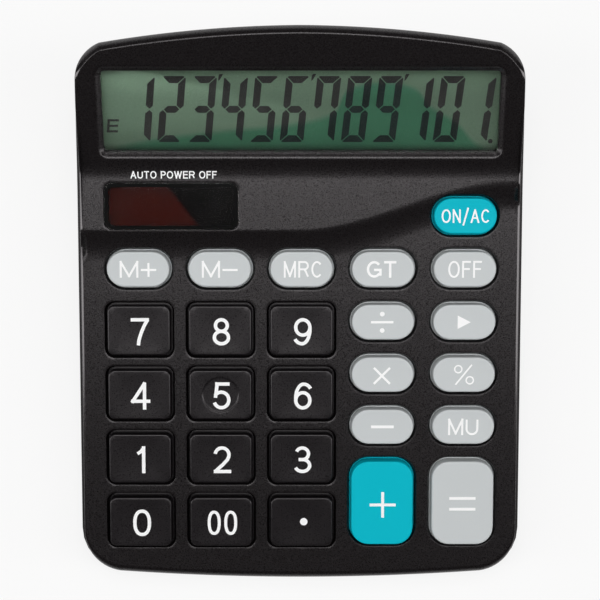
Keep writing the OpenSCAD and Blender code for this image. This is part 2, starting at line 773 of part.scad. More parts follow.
module lcd_frame() {
    inner = glass_w / 2 + pocket_gap;
    outer = inner + frame_wall;
    low = rear_glass_start - pocket_gap - frame_wall;
    high = glass_top_end + frame_wall;
    color("#d8d8d2") difference() {
        union() {
            on_hood(0, 0, -frame_bottom) linear_extrude(frame_bottom - front_film_top) polygon([
                [-outer, low], [outer, low], [outer, high - frame_corner],
                [outer - frame_corner, high], [frame_corner - outer, high], [-outer, high - frame_corner]
            ]);
            for (s = frame_screws) {
                reach = s.y > high ? high - cut : low + cut;
                on_hood(s.x, s.y, -lens_bottom - frame_tab_t)
                    cylinder(r = small_boss_r, h = frame_tab_t - rest_gap);
                on_hood(s.x) box([-small_boss_r, min(s.y, reach), -lens_bottom - frame_tab_t],
                    [small_boss_r, max(s.y, reach), -front_film_top]);
            }
        }
        on_hood() box([-inner, rear_glass_start - pocket_gap, -frame_pocket],
            [inner, glass_top_end + pocket_gap, 0]);
        // Way out for the ribbon.
        on_hood() box([-ribbon_w / 2 - slide_gap, low - cut, -frame_pocket],
            [ribbon_w / 2 + slide_gap, rear_glass_start, 0]);
        for (s = frame_screws) on_hood(s.x, s.y, -frame_bottom)
            cylinder(r = small_screw_r + rest_gap, h = frame_bottom);
    }
}

module lcd_screws() {
    color("#b9bcc0") for (s = frame_screws) on_hood(s.x, s.y, -lens_bottom - frame_tab_t)
        screw(small_screw_r, frame_screw_l, small_head_r, small_head_h);
}

module display_ribbon() {
    bend = 0.5;                              // where the ribbon meets the board
    seat = 3;                                // how far it lies on the board
    lift = [0, ribbon_t];
    path = [
        on_hood_yz(glass_start - rest_gap, -rear_glass_top),
        on_hood_yz(rear_glass_start - 2, -rear_glass_top),
        on_face_yz(board_rear - bend, -board_top),
        on_face_yz(board_rear - bend - seat, -board_top)
    ];
    color("#a9763a") across(ribbon_w)
        polygon(concat(path, [for (i = [3 : -1 : 0]) path[i] + lift]));
}

// ---- Solar window ----

module solar_window() {
    gap = 2 * rest_gap;
    color("#5a2018", 0.5) on_face(solar_x, solar_v)
        slab(solar_w - gap, solar_l - gap, solar_r - rest_gap,
            plateau_rise - window_sink - window_t, plateau_rise - window_sink);
}

module solar_cell() {
    rim = window_ledge - cell_reach;
    color("#2c0d07") on_face(solar_x, solar_v, -shell_t - rest_gap / 2 - cell_t)
        translate([rim - solar_w / 2, rim - solar_l / 2, 0])
            cube([solar_w - 2 * rim, solar_l - 2 * rim, cell_t]);
}

module solar_wires() {
    wire_x = solar_w / 2 - 4;
    wire_v = solar_v - 2;
    color("#b02a20") for (side = [-1, 1])
        on_face(solar_x + side * wire_x, wire_v, -board_top)
            cylinder(r = wire_r, h = board_top - shell_t - rest_gap / 2 - cell_t);
}

// ---- Keys and board ----

module key(key) {
    l = key_l(key);
    r = key_r(key);
    reach = key_gap + flange_reach;
    color(key[4]) on_face(key_x(key), key_v(key)) {
        difference() {
            union() {
                slab(key_w, l, r, -flange_bottom, key_rise);
                slab(key_w + 2 * reach, l + 2 * reach, r + reach, -flange_bottom, -flange_top);
            }
            slab(key_w - 2 * key_wall, l - 2 * key_wall, max(r - key_wall, number_r / 3),
                -flange_bottom - cut, key_rise - key_wall);
        }
        translate([0, 0, -stem_end]) cylinder(r = stem_r, h = stem_end + key_rise - key_wall / 2);
    }
}

module keypad_membrane() {
    color("#5d5f60") difference() {
        union() {
            on_face(0, 0, -board_top) linear_extrude(sheet_t) polygon([
                [-sheet_half_w, board_front + sheet_margin],
                [sheet_half_w, board_front + sheet_margin],
                [sheet_half_w, board_rear - sheet_margin],
                [sheet_tab_x, board_rear - sheet_margin],
                [sheet_tab_x, sheet_rear], [-sheet_half_w, sheet_rear]
            ]);
            for (key = KEYS) on_face(key_x(key), key_v(key), -sheet_top - sheet_t / 2)
                rotate_extrude() polygon([
                    [0, 0], [dome_foot_r, 0], [dome_foot_r, sheet_t / 2],
                    [dome_top_r, sheet_t / 2 + dome_h], [0, sheet_t / 2 + dome_h]
                ]);
        }
        for (key = KEYS) on_face(key_x(key), key_v(key), -board_top - cut)
            cylinder(r = dome_top_r - 0.4, h = cut + sheet_t + dome_h - dome_roof_t);
    }
    // The carbon pills that close the board's contacts, moulded under the domes' roofs.
    color("#1b1b1c") for (key = KEYS)
        on_face(key_x(key), key_v(key), -dome_top - dome_roof_t - pill_t) cylinder(r = pill_r, h = pill_t);
}

module circuit_board() {
    w = board_w / 2;
    c = board_corner;
    color("#b98a3c") difference() {
        on_face(0, 0, -board_bottom) linear_extrude(board_t) polygon([
            [c - w, board_front], [w - c, board_front], [w, board_front + c], [w, board_rear],
            [-w, board_rear], [-w, board_front + c]
        ]);
        for (s = board_screws) on_face(s.x, s.y, -board_bottom - cut)
            cylinder(r = small_screw_r + rest_gap, h = board_t + 2 * cut);
    }
}

module chip_cap() {
    ball_r = (chip_r * chip_r + chip_h * chip_h) / (2 * chip_h);
    color("#141414") on_face(chip_at.x, chip_at.y, -board_bottom) intersection() {
        translate([0, 0, ball_r - chip_h]) sphere(ball_r, $fn = 96);
        translate([0, 0, -chip_h - cut]) cylinder(r = chip_r + cut, h = chip_h + cut);
    }
}

module capacitor() {
    color("#23262e") on_face(capacitor_at.x, capacitor_at.y, -board_bottom - capacitor_l)
        cylinder(r = capacitor_r, h = capacitor_l);
}

module resistors() {
    body_r = 0.9;
    body_l = 4;
    color("#c9a36a") for (i = [0 : resistor_count - 1])
        on_face(resistors_at.x + i * resistor_pitch, resistors_at.y, -board_bottom - body_r)
            rotate([90, 0, 0]) cylinder(r = body_r, h = body_l, center = true);
}

module board_screws() {
    color("#b9bcc0") for (s = board_screws) on_face(s.x, s.y, -board_bottom)
        screw(small_screw_r, board_screw_l, small_head_r, small_head_h);
}

module case_screws() {
    color("#6d6f72") for (s = case_screws) translate([s.x, s.y, s[2]])
        screw(case_screw_r, case_screw_l, case_head_r, case_head_h);
}

// ---- Battery ----

module battery() {
    color("#3e6a4c") translate([battery_left, battery_y, battery_z]) rotate([0, 90, 0]) {
        cylinder(r = battery_r, h = battery_l - nub_l);
        cylinder(r = nub_r, h = battery_l);
    }
}

module contact(side) {
    plate_x = side * (bay_half_l - rest_gap - contact_t / 2);
    half = bay_half_w - slide_gap;
    translate([plate_x, battery_y, contact_z + contact_h / 2])
        cube([contact_t, 2 * half, contact_h], center = true);
    tab_l = bay_t + 2;
    translate([plate_x, bay_front + slide_gap - tab_l / 2 + cut / 2, tab_z + tab_h / 2])
        cube([contact_t, tab_l + cut, tab_h], center = true);
}

module battery_spring() {
    steps = spring_turns * spring_rings;
    coil = [
        for (i = [0 : steps])
            let (t = i / steps, a = 360 * spring_turns * t,
                 r = spring_r[0] + (spring_r[1] - spring_r[0]) * t)
                [spring_from + (spring_to - spring_from) * t, r * cos(a), r * sin(a)]
    ];
    color("#c4c6c8") {
        contact(-1);
        translate([0, battery_y, battery_z]) wire(coil, spring_wire_r, [1, 0, 0]);
    }
}

module battery_plate() {
    color("#c4c6c8") contact(1);
}

module battery_wires() {
    x = bay_half_l - rest_gap - contact_t / 2;
    start_y = bay_front + slide_gap - bay_t - 2 - wire_r - rest_gap;
    end = on_face_yz(board_rear - 3, -board_bottom - wire_r);
    color("#b02a20") for (side = [-1, 1]) wire([
        [side * x, start_y, tab_z + tab_h / 2],
        [side * (x - 1), start_y - 4, tab_z - 1],
        [side * (x - 4), end.x + 2, end.y - 2],
        [side * (x - 5), end.x, end.y]
    ], wire_r, [0, 0, 1]);
}

module rubber_feet() {
    color("#1a1a1b") for (x = [-foot_x, foot_x], y = [-foot_y, foot_y])
        translate([x, y, 0]) cylinder(r = foot_r, h = foot_h + foot_sink);
}

top_cover();
bottom_case();
battery_door();
display_lens();
lcd_front_polarizer();
lcd_front_glass();
lcd_rear_glass();
lcd_reflector();
lcd_frame();
lcd_screws();
display_ribbon();
solar_window();
solar_cell();
solar_wires();
keypad_membrane();
circuit_board();
chip_cap();
capacitor();
resistors();
board_screws();
case_screws();
battery();
battery_spring();
battery_plate();
battery_wires();
rubber_feet();
for (key = KEYS) key(key);
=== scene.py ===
# %% [markdown]
# # A desk calculator
# The construction model already holds every piece at its real size, and this script gives it
# its surface: the moulded skin of the case, the key caps and their legends, the display and
# the finishes. Everything is placed from the sizes of the construction model.

# %% Load the construction model
import json
from math import atan2, cos, pi, radians, sin, sqrt, tan

import bmesh
import bpy
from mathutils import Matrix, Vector
from mathutils.geometry import delaunay_2d_cdt


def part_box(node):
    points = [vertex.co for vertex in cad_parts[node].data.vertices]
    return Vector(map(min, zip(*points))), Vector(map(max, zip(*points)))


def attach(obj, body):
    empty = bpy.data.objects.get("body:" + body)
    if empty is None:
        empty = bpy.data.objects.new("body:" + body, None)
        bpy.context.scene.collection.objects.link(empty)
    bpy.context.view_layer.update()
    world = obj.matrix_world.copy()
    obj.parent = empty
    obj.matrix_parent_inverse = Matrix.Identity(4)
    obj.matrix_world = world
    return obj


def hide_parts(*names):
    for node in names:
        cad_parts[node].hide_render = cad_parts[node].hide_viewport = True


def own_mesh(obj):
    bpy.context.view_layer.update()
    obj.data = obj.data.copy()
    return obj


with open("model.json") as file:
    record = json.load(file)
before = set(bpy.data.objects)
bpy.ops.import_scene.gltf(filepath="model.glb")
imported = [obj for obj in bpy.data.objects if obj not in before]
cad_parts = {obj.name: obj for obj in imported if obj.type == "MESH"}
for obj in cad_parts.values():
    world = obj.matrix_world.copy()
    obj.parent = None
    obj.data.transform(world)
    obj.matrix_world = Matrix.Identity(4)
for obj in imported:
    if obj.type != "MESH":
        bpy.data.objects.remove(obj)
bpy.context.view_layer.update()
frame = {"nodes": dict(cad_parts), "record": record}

# %% [markdown]
# Lengths are in millimetres while shapes are worked out, because that is how a case is drawn,
# and turn into metres when a mesh is made. Colours are written as they look on a screen, and
# one function turns them into the linear values that the renderer calculates with.

# %% Units and colours
MM = 0.001


def linear(code):
    """The linear colour of a screen colour such as #1f2e3d."""
    parts = [int(code[i:i + 2], 16) / 255 for i in (1, 3, 5)]
    return [c / 12.92 if c <= 0.04045 else ((c + 0.055) / 1.055) ** 2.4 for c in parts] + [1]


def box_mm(node):
    """The lowest and the highest corner of a construction piece, in millimetres."""
    low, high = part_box(node)
    return low / MM, high / MM


def ease(t):
    """Runs smoothly from 0 to 1."""
    t = min(1, max(0, t))
    return t * t * (3 - 2 * t)


def blend(a, b, t):
    """The value a share t of the way from a to b."""
    return a + (b - a) * t


print(f"a screen's middle grey is {linear('#808080')[0]:.3f} in linear light")

# %% [markdown]
# The case has two flat planes: the key face, tilted by 6 degrees, and the display hood, tilted
# by 22 degrees. Most things are drawn in the frame of the key face: u runs to the right, v up
# the slope and w out of it. The hood has a frame of its own, with p up its slope.

# %% The two sloping planes
low, high = box_mm("bottom_case")
HALF_W, HALF_L = high.x, high.y
CASE_H = box_mm("top_cover")[1].z
FRONT_H = 12.0                 # height of the key face at its front end
FACE_TILT, HOOD_TILT = radians(6), radians(22)
SHELL_T = 1.8                  # thickness of the walls
PARTING = 6.5                  # depth of the parting line below the key face
RISE = 1.5                     # step from the key face up to the panel behind the keys
SIDE_LEAN = radians(8)         # the long side walls lean in by this
REAR_EDGE_R = 1.8              # radius of the construction model's rear edge

hood_zero = (CASE_H - REAR_EDGE_R + REAR_EDGE_R / cos(HOOD_TILT)
             - (HALF_L - REAR_EDGE_R) * tan(HOOD_TILT))
panel_zero = FRONT_H + HALF_L * tan(FACE_TILT) + RISE / cos(FACE_TILT)
HOOD_Y = (panel_zero - hood_zero) / (tan(HOOD_TILT) - tan(FACE_TILT))
HOOD_Z = hood_zero + HOOD_Y * tan(HOOD_TILT)
HOOD_V = (HOOD_Y + HALF_L + RISE * sin(FACE_TILT)) / cos(FACE_TILT)


def from_face(u, v, w):
    """World place of a point given on the key face."""
    return Vector((u, -HALF_L + v * cos(FACE_TILT) - w * sin(FACE_TILT),
                   FRONT_H + v * sin(FACE_TILT) + w * cos(FACE_TILT)))


def to_face(point):
    """The (u, v, w) of a world point."""
    y, z = point[1] + HALF_L, point[2] - FRONT_H
    return Vector((point[0], y * cos(FACE_TILT) + z * sin(FACE_TILT),
                   z * cos(FACE_TILT) - y * sin(FACE_TILT)))


def from_hood(u, p, q):
    """World place of a point given on the hood: p up its slope and q out of it."""
    return Vector((u, HOOD_Y + p * cos(HOOD_TILT) - q * sin(HOOD_TILT),
                   HOOD_Z + p * sin(HOOD_TILT) + q * cos(HOOD_TILT)))


print(f"hood starts {HOOD_V:.2f} mm up the face")

# %% [markdown]
# A camera straight above shows the calculator as a catalogue does. A big soft lamp hangs
# overhead and to the rear. The key face mirrors a part of it towards the camera and looks
# lighter, while the hood is turned away from it and stays nearly black. Two narrow lamps at
# the sides draw the thin bright lines along the edges.

# %% Camera, lamps and floor
CAMERA_H, CAMERA_Y = 420, 3.1  # height above the desk, and how far behind the middle it hangs
FOCAL, SENSOR, NEAREST = 89.8, 36, 0.01  # lens and sensor width, and where the view starts
FLOOR_HALF, FLOOR_Z = 4.0, -0.05 * MM    # the floor lies just below the feet
GLOW_SHARE = 0.8               # how far the backdrop's look is plain white, whatever the light
WORLD_STRENGTH = 0.06
scene = bpy.context.scene
scene.view_settings.view_transform = "Standard"
camera = bpy.data.objects.new("camera", bpy.data.cameras.new("camera"))
camera.location = (0, CAMERA_Y * MM, CAMERA_H * MM)
camera.data.lens = FOCAL
camera.data.sensor_width = SENSOR
camera.data.clip_start = NEAREST
scene.collection.objects.link(camera)
scene.camera = camera


def lamp(name, place, aim, sides, watts):
    """A rectangular lamp that hangs at a place and faces a point, all in metres."""
    data = bpy.data.lights.new(name, "AREA")
    data.shape = "RECTANGLE"
    data.size, data.size_y = sides
    data.energy = watts
    lamp_object = bpy.data.objects.new(name, data)
    lamp_object.location = place
    direction = Vector(aim) - Vector(place)
    lamp_object.rotation_euler = direction.to_track_quat("-Z", "Y").to_euler()
    scene.collection.objects.link(lamp_object)


lamp("overhead", (0, 0.39, 1.5), (0, 0.39, 0), (1.1, 1.02), 14)
for name, side in (("left", -1), ("right", 1)):
    lamp(name, (side * 1.1, -0.1, 0.75), (0, -0.1, 0.02), (0.4, 1.7), 7.5)


def add_node(owner, kind, settings=None, **links):
    """Adds a node to a material or a node tree. Settings are its own properties or its
    sockets' values. Links give the output that feeds a socket, which is named with its spaces
    as underscores, or by i and its number."""
    tree = getattr(owner, "node_tree", owner)
    made = tree.nodes.new(kind)
    for key, value in (settings or {}).items():
        if hasattr(made, str(key)):
            setattr(made, key, value)
        else:
            made.inputs[key].default_value = value
    for key, source in links.items():
        socket = int(key[1:]) if key[1:].isdigit() else key.replace("_", " ")
        tree.links.new(source, made.inputs[socket])
    return made


def empty_material(name):
    """A node material with nothing in it yet."""
    material = bpy.data.materials.new(name)
    material.use_nodes = True
    material.node_tree.nodes.clear()
    return material


def backdrop_material():
    """Paper that looks white to the camera, in gloss and through glass, and takes a shadow."""
    material = empty_material("paper_backdrop")
    path = add_node(material, "ShaderNodeLightPath")
    seen = add_node(material, "ShaderNodeMath", {"operation": "MAXIMUM"},
                    i0=path.outputs["Is Camera Ray"], i1=path.outputs["Is Glossy Ray"])
    seen = add_node(material, "ShaderNodeMath", {"operation": "MAXIMUM"},
                    i0=seen.outputs[0], i1=path.outputs["Is Transmission Ray"])
    share = add_node(material, "ShaderNodeMath", {"operation": "MULTIPLY", 1: GLOW_SHARE},
                     i0=seen.outputs[0])
    paper = add_node(material, "ShaderNodeBsdfPrincipled",
                     {"Base Color": linear("#efefee"), "Roughness": 0.9})
    glow = add_node(material, "ShaderNodeEmission", {"Color": linear("#ffffff"), "Strength": 1.0})
    mixed = add_node(material, "ShaderNodeMixShader", None,
                     i0=share.outputs[0], i1=paper.outputs[0], i2=glow.outputs[0])
    add_node(material, "ShaderNodeOutputMaterial", None, Surface=mixed.outputs[0])
    return material


floor_mesh = bpy.data.meshes.new("floor")
floor_mesh.from_pydata([(x * FLOOR_HALF, y * FLOOR_HALF, FLOOR_Z)
                        for x, y in ((-1, -1), (1, -1), (1, 1), (-1, 1))], [], [(0, 1, 2, 3)])
floor_mesh.materials.append(backdrop_material())
floor = bpy.data.objects.new("floor", floor_mesh)
scene.collection.objects.link(floor)

world = bpy.data.worlds.new("studio")
world.use_nodes = True
scene.world = world
background = world.node_tree.nodes["Background"]
background.inputs["Color"].default_value = linear("#ffffff")
background.inputs["Strength"].default_value = WORLD_STRENGTH
print("camera, three lamps and a floor")

# %% [markdown]
# Nearly everything that shows is moulded plastic. ABS from a spark-eroded mould has a fine
# grain: bumps a tenth of a millimetre wide that break up its sheen. That is too fine to show
# from the camera, so it is drawn three times as coarse. The grain comes from noise in
# millimetres, and the gloss changes a little from place to place, as handling leaves it.

# %% A moulded plastic
# Nearly all of a noise lies between the first two values, and most of it between the others.
ALL_NOISE = {"From Min": 0.3, "From Max": 0.7}
MOST_NOISE = {"From Min": 0.35, "From Max": 0.65}
CLOUD_MM = 9                   # size of the patches in which the tone changes


def moulded_plastic(name, colour, roughness, grain_mm, depth_mm, speckle=0.04, mottle=0.03,
                    specular=0.5, sparkle=0.0, tint=(1, 1, 1, 1)):
    """A dielectric with a moulded grain: grain_mm is the size of one bump and depth_mm its
    height. The roughness changes by speckle and the reflection by a share sparkle from bump
    to bump, and the tone changes by three times mottle from patch to patch."""
    material = empty_material(name)
    where = add_node(material, "ShaderNodeTexCoord").outputs["Object"]
    grain = add_node(material, "ShaderNodeTexNoise",
                     {"Scale": 1 / (grain_mm * MM), "Detail": 2.0, "Roughness": 0.55}, Vector=where)
    cloud = add_node(material, "ShaderNodeTexNoise",
                     {"Scale": 1 / (CLOUD_MM * MM), "Detail": 3.0, "Roughness": 0.5},
                     Vector=where)
    base = linear(colour)
    dark = [c * (1 - 3 * mottle) for c in base[:3]] + [1]
    light = [min(1, c * (1 + 3 * mottle)) for c in base[:3]] + [1]
    tone = add_node(material, "ShaderNodeMix", {"data_type": "RGBA", 6: dark, 7: light},
                    i0=cloud.outputs["Fac"])
    gloss = add_node(material, "ShaderNodeMapRange",
                     {**ALL_NOISE, "To Min": roughness - speckle, "To Max": roughness + speckle},
                     Value=grain.outputs["Fac"])
    bump = add_node(material, "ShaderNodeBump", {"Strength": 1.0, "Distance": depth_mm * MM},
                    Height=grain.outputs["Fac"])
    surface = add_node(material, "ShaderNodeBsdfPrincipled",
                       {"IOR": 1.5, "Specular IOR Level": specular, "Specular Tint": tint},
                       Base_Color=tone.outputs[2],
                       Roughness=gloss.outputs[0], Normal=bump.outputs[0])
    if sparkle:
        glint = add_node(material, "ShaderNodeMapRange",
                         {**MOST_NOISE, "To Min": specular * (1 - sparkle),
                          "To Max": specular * (1 + sparkle)}, Value=grain.outputs["Fac"])
        material.node_tree.links.new(glint.outputs[0], surface.inputs["Specular IOR Level"])
    add_node(material, "ShaderNodeOutputMaterial", None, Surface=surface.outputs[0])
    return material


print("one recipe for every moulded plastic")

# %% [markdown]
# The case, the keys and the rims are all lofts: closed loops of points, one above the other,
# with faces between them. A small class keeps the points and faces of one moulding while it is
# built, and turns them into a Blender mesh with its faces outwards. Where a loft ends in a flat
# with holes in it, a constrained triangulation fills the space between the loops.

# %% A moulding built from loops
def smooth_by_weight(piece, sharp_degrees):
    """Smooth shading in which big faces stay flat and only the fillets bend the light."""
    piece.data.shade_smooth()
    piece.data.set_sharp_from_angle(angle=radians(sharp_degrees))
    modifier = piece.modifiers.new("weighted", "WEIGHTED_NORMAL")
    modifier.keep_sharp = True
    modifier.weight = 90


class Moulding:
    """The points, in millimetres, and the faces of a moulding while it is built."""

    def __init__(self):
        self.points, self.faces = [], []

    def loop(self, points):
        """Adds the points of a closed loop and returns their numbers."""
        first = len(self.points)
        self.points += [Vector(p) for p in points]
        return list(range(first, len(self.points)))

    def bridge(self, below, above):
        """Joins two loops that have the same number of points."""
        count = len(below)
        for i in range(count):
            j = (i + 1) % count
            self.faces.append((below[i], below[j], above[j], above[i]))

    def loft(self, loops):
        """Joins the loops in turn and returns their numbers."""
        numbers = [self.loop(points) for points in loops]
        for below, above in zip(numbers, numbers[1:]):
            self.bridge(below, above)
        return numbers

    def cap(self, ring):
        """Closes a loop with a fan round its middle."""
        middle = sum((self.points[i] for i in ring), Vector()) / len(ring)
        centre = self.loop([middle])[0]
        for i, j in zip(ring, ring[1:] + ring[:1]):
            self.faces.append((i, j, centre))

    def make(self, name, materials, sharp_degrees=35):
        """Makes the piece with its faces outwards, and says if an edge was left open."""
        mesh = bpy.data.meshes.new(name)
        mesh.from_pydata([tuple(p * MM) for p in self.points], [], self.faces)
        tidy = bmesh.new()
        tidy.from_mesh(mesh)
        bmesh.ops.recalc_face_normals(tidy, faces=tidy.faces)
        if tidy.calc_volume(signed=True) < 0:
            bmesh.ops.reverse_faces(tidy, faces=tidy.faces)
        open_edges = sum(not edge.is_manifold for edge in tidy.edges)
        tidy.to_mesh(mesh)
        tidy.free()
        for material in materials:
            mesh.materials.append(material)
        piece = bpy.data.objects.new(name, mesh)
        scene.collection.objects.link(piece)
        smooth_by_weight(piece, sharp_degrees)
        if open_edges:
            print(f"{name} has {open_edges} open edges")
        return piece


def in_loop(point, loop):
    """Whether a point (u, v) lies inside a closed loop of points."""
    u, v = point
    inside = False
    for a, b in zip(loop, loop[1:] + loop[:1]):
        if (a[1] > v) != (b[1] > v) and u < (b[0] - a[0]) * (v - a[1]) / (b[1] - a[1]) + a[0]:
            inside = not inside
    return inside


def loop_distance(point, loop):
    """Distance from a point to the nearest side of a closed loop."""
    best = 1e9
    for a, b in zip(loop, loop[1:] + loop[:1]):
        du, dv = b[0] - a[0], b[1] - a[1]
        t = min(1, max(0, ((point[0] - a[0]) * du + (point[1] - a[1]) * dv) / (du * du + dv * dv)))
        best = min(best, (a[0] + t * du - point[0]) ** 2 + (a[1] + t * dv - point[1]) ** 2)
    return sqrt(best)


def box_of(loop):
    """Lowest u and v and highest u and v of a loop."""
    return (min(p[0] for p in loop), min(p[1] for p in loop),
            max(p[0] for p in loop), max(p[1] for p in loop))


LINE_CLEAR = 0.25              # the lines inside a filled region keep this far from its rings
BOX_MARGIN = 1                 # a ring further off than this isn't tested


def fill(shape, outer, holes, lines, place):
    """Fills the region inside the outer ring and outside the holes with triangles. Rings are
    point numbers of the shape, lines are rows of (u, v) that the triangles should follow, and
    place gives a new point's position from its (u, v)."""
    flat = [[to_face(shape.points[i])[:2] for i in ring] for ring in [outer] + holes]
    coords, edges, owner = [], [], []
    for ring, loop in zip([outer] + holes, flat):
        first = len(coords)
        coords += [Vector(p) for p in loop]
        owner += ring
        edges += [(first + i, first + (i + 1) % len(ring)) for i in range(len(ring))]
    boxes = [box_of(loop) for loop in flat]
    low_u, low_v, high_u, high_v = boxes[0]
    for line in lines:
        last = None
        for u, v in line:
            clear = (low_u < u < high_u and low_v < v < high_v and in_loop((u, v), flat[0])
                     and loop_distance((u, v), flat[0]) > LINE_CLEAR)
            for loop, (u0, v0, u1, v1) in zip(flat[1:], boxes[1:]):
                if (clear and u0 - BOX_MARGIN < u < u1 + BOX_MARGIN
                        and v0 - BOX_MARGIN < v < v1 + BOX_MARGIN):
                    clear = (not in_loop((u, v), loop)
                             and loop_distance((u, v), loop) > LINE_CLEAR)
            if not clear:
                last = None
                continue
            coords.append(Vector((u, v)))
            if last is not None:
                edges.append((last, len(coords) - 1))
            last = len(coords) - 1
    points, _, faces, sources, _, _ = delaunay_2d_cdt(coords, edges, [], 1, 1e-5, True)
    number = []
    for point, source in zip(points, sources):
        known = [owner[i] for i in source if i < len(owner)]
        number.append(known[0] if known else shape.loop([place(point[0], point[1])])[0])
    for face in faces:
        u = sum(points[i][0] for i in face) / len(face)
        v = sum(points[i][1] for i in face) / len(face)
        holed = any(u0 < u < u1 and v0 < v < v1 and in_loop((u, v), loop)
                    for loop, (u0, v0, u1, v1) in zip(flat[1:], boxes[1:]))
        if not holed:
            shape.faces.append(tuple(number[i] for i in face))


print("mouldings are ready to be built")

# %% [markdown]
# Every opening and every key is a rectangle with round corners, grown or shrunk a little from
# level to level. The loops of one opening all have the same number of points, so they join.

# %% Rectangles with round corners
def rounded(width, length, r, growth=0.0, corner=7, side=3):
    """Points of a rectangle with round corners about (0, 0), counter-clockwise, with so many
    steps in a corner and points along a side."""
    r = max(0.05, min(r + growth, width / 2 + growth - 0.02, length / 2 + growth - 0.02))
    a, b = width / 2 + growth - r, length / 2 + growth - r
    points = []
    for quarter, (su, sv) in enumerate(((1, 1), (-1, 1), (-1, -1), (1, -1))):
        for i in range(corner + 1):
            angle = pi / 2 * (quarter + i / corner)
            points.append((su * a + r * cos(angle), sv * b + r * sin(angle)))
        start = points[-1]
        nu, nv = ((-1, 1), (-1, -1), (1, -1), (1, 1))[quarter]
        angle = pi / 2 * (quarter + 1)
        end = (nu * a + r * cos(angle), nv * b + r * sin(angle))
        points += [(blend(start[0], end[0], t), blend(start[1], end[1], t))
                   for t in (i / (side + 1) for i in range(1, side + 1))]
    return points


# How far a key's flange stands out, its depths below the face, and the gap round a key.
KEY_REACH, FLANGE_TOP, FLANGE_BOTTOM, KEY_GAP = 1.0, 2.1, 2.9, 0.4
NUMBER_R, TALL_R = 1.8, 4.8    # corners of the number keys and the tall keys
OVAL_UP_TO, TALL_FROM = 11, 20 # length by which an oval key and a tall key are told
keys = {}
for node in frame["nodes"]:
    if node.startswith("key_"):
        low, high = box_mm(node)
        thickness = FLANGE_BOTTOM - FLANGE_TOP
        length = (high.y - low.y - thickness * sin(FACE_TILT)) / cos(FACE_TILT) - 2 * KEY_REACH
        middle = (low.y + high.y) / 2 - (FLANGE_BOTTOM + FLANGE_TOP) / 2 * sin(FACE_TILT)
        round_r = (TALL_R if length > TALL_FROM
                   else length / 2 if length < OVAL_UP_TO else NUMBER_R)
        keys[node] = ((low.x + high.x) / 2, (middle + HALF_L) / cos(FACE_TILT),
                      high.x - low.x - 2 * KEY_REACH, length, round_r)
        print(node, *(f"{number:.2f}" for number in keys[node]))

# %% [markdown]
# Behind the keys the case steps up to a panel. The step's crest sweeps from below the solar
# window on the left up to the hood on the right. On the left it has a crisp upper edge and a
# soft foot, and on the right it is soft at both. The panel then runs into the hood in a hollow.

# %% The height of the upper surface
# Where the crest starts on the left, how far right it ends, and how far it climbs.
SWEEP_START, SWEEP_RUN, SWEEP_LIFT = HOOD_V - 13.6, HALF_W - 4.2, 12.6
SWEEP_SLOPE = tan(radians(16.5))
BENDS, FEET = (0.4, 2.6), (5.6, 4.0)     # length of the band's bend and foot, left and right
HOLLOW = 0.6                   # depth of the hollow's blend
HOLLOW_SHIFT = 2.0             # the hollow's middle lies this far behind the hood's own start
TOP_CLEAR = 0.02               # the rear edge stays this far below the construction model's
# The edge is a chain of three arcs, from the top out. These are their radii, and the slopes in
# degrees that the first two turn down to. The last one turns down to the wall.
SIDE_EDGE = (0.4, 3.2, 0.3, 19, 28)
FRONT_EDGE = (2.2, 2.2, 2.2, 19, 28)
REAR_EDGE = (0.7, 4.5, 1.5, 25, 60)
ARC_STEPS = 5


def crest_v(u):
    """Where the band's crest runs, up the face."""
    return SWEEP_START + SWEEP_LIFT * ease(u / SWEEP_RUN)


def panel_w(u, v):
    """Height of the raised panel, of the band and of the key face. The band bends down from
    its crest, runs straight and fades out in a long foot."""
    bend = blend(*BENDS, ease((u + 20) / 60))
    foot = blend(*FEET, ease((u - 30) / 20))
    straight = RISE / SWEEP_SLOPE - (bend + foot) / 2
    down = max(0, crest_v(u) - v + bend / 3)
    if down < bend:
        drop = down * down / (2 * bend)
    elif down < bend + straight:
        drop = down - bend / 2
    else:
        fade = min(foot, down - bend - straight)
        drop = bend / 2 + straight + fade - fade * fade / (2 * foot)
    return RISE - SWEEP_SLOPE * drop


def panel_z(y):
    """World height of the panel's plane."""
    return FRONT_H + (y + HALF_L) * tan(FACE_TILT) + RISE / cos(FACE_TILT)


def arc_reach(arcs, slope):
    """How far a chain of arcs reaches outwards and downwards from a top with a slope."""
    out = down = 0
    for r, turn in arcs:
        out += r * (sin(turn) - sin(slope))
        down += r * (cos(slope) - cos(turn))
        slope = turn
    return out, down


def mixed_arcs(nx, ny):
    """The chain at a point of the outline, from its outward normal: the radius of each arc
    and the slope that it turns down to."""
    other, share = (REAR_EDGE, ease(ny)) if ny > 0 else (FRONT_EDGE, ease(-ny))
    first_r, second_r, last_r, first_turn, second_turn = (
        blend(side, end, share) for side, end in zip(SIDE_EDGE, other))
    return [(first_r, radians(first_turn)), (second_r, radians(second_turn)),
            (last_r, pi / 2 - SIDE_LEAN * abs(nx))]


# The hood runs from the middle of the hollow to the roll of the rear edge, which it touches.
# Its tilt and the end of the roll depend on each other, and a few rounds settle both.
hollow_y = HOOD_Y + HOLLOW_SHIFT
tilt = HOOD_TILT
for _ in range(20):
    out, _ = arc_reach(mixed_arcs(0, 1), -tilt)
    crease_z = CASE_H - TOP_CLEAR - REAR_EDGE[0] * (1 - cos(tilt))
    tilt = atan2(crease_z - panel_z(hollow_y), HALF_L - out - hollow_y)
HOOD_SLOPE = tan(tilt - FACE_TILT)
HOLLOW_V = (hollow_y + HALF_L + RISE * sin(FACE_TILT)) / cos(FACE_TILT)
print(f"the hood's surface is tilted by {tilt * 180 / pi:.2f} degrees from {hollow_y:.2f} mm")


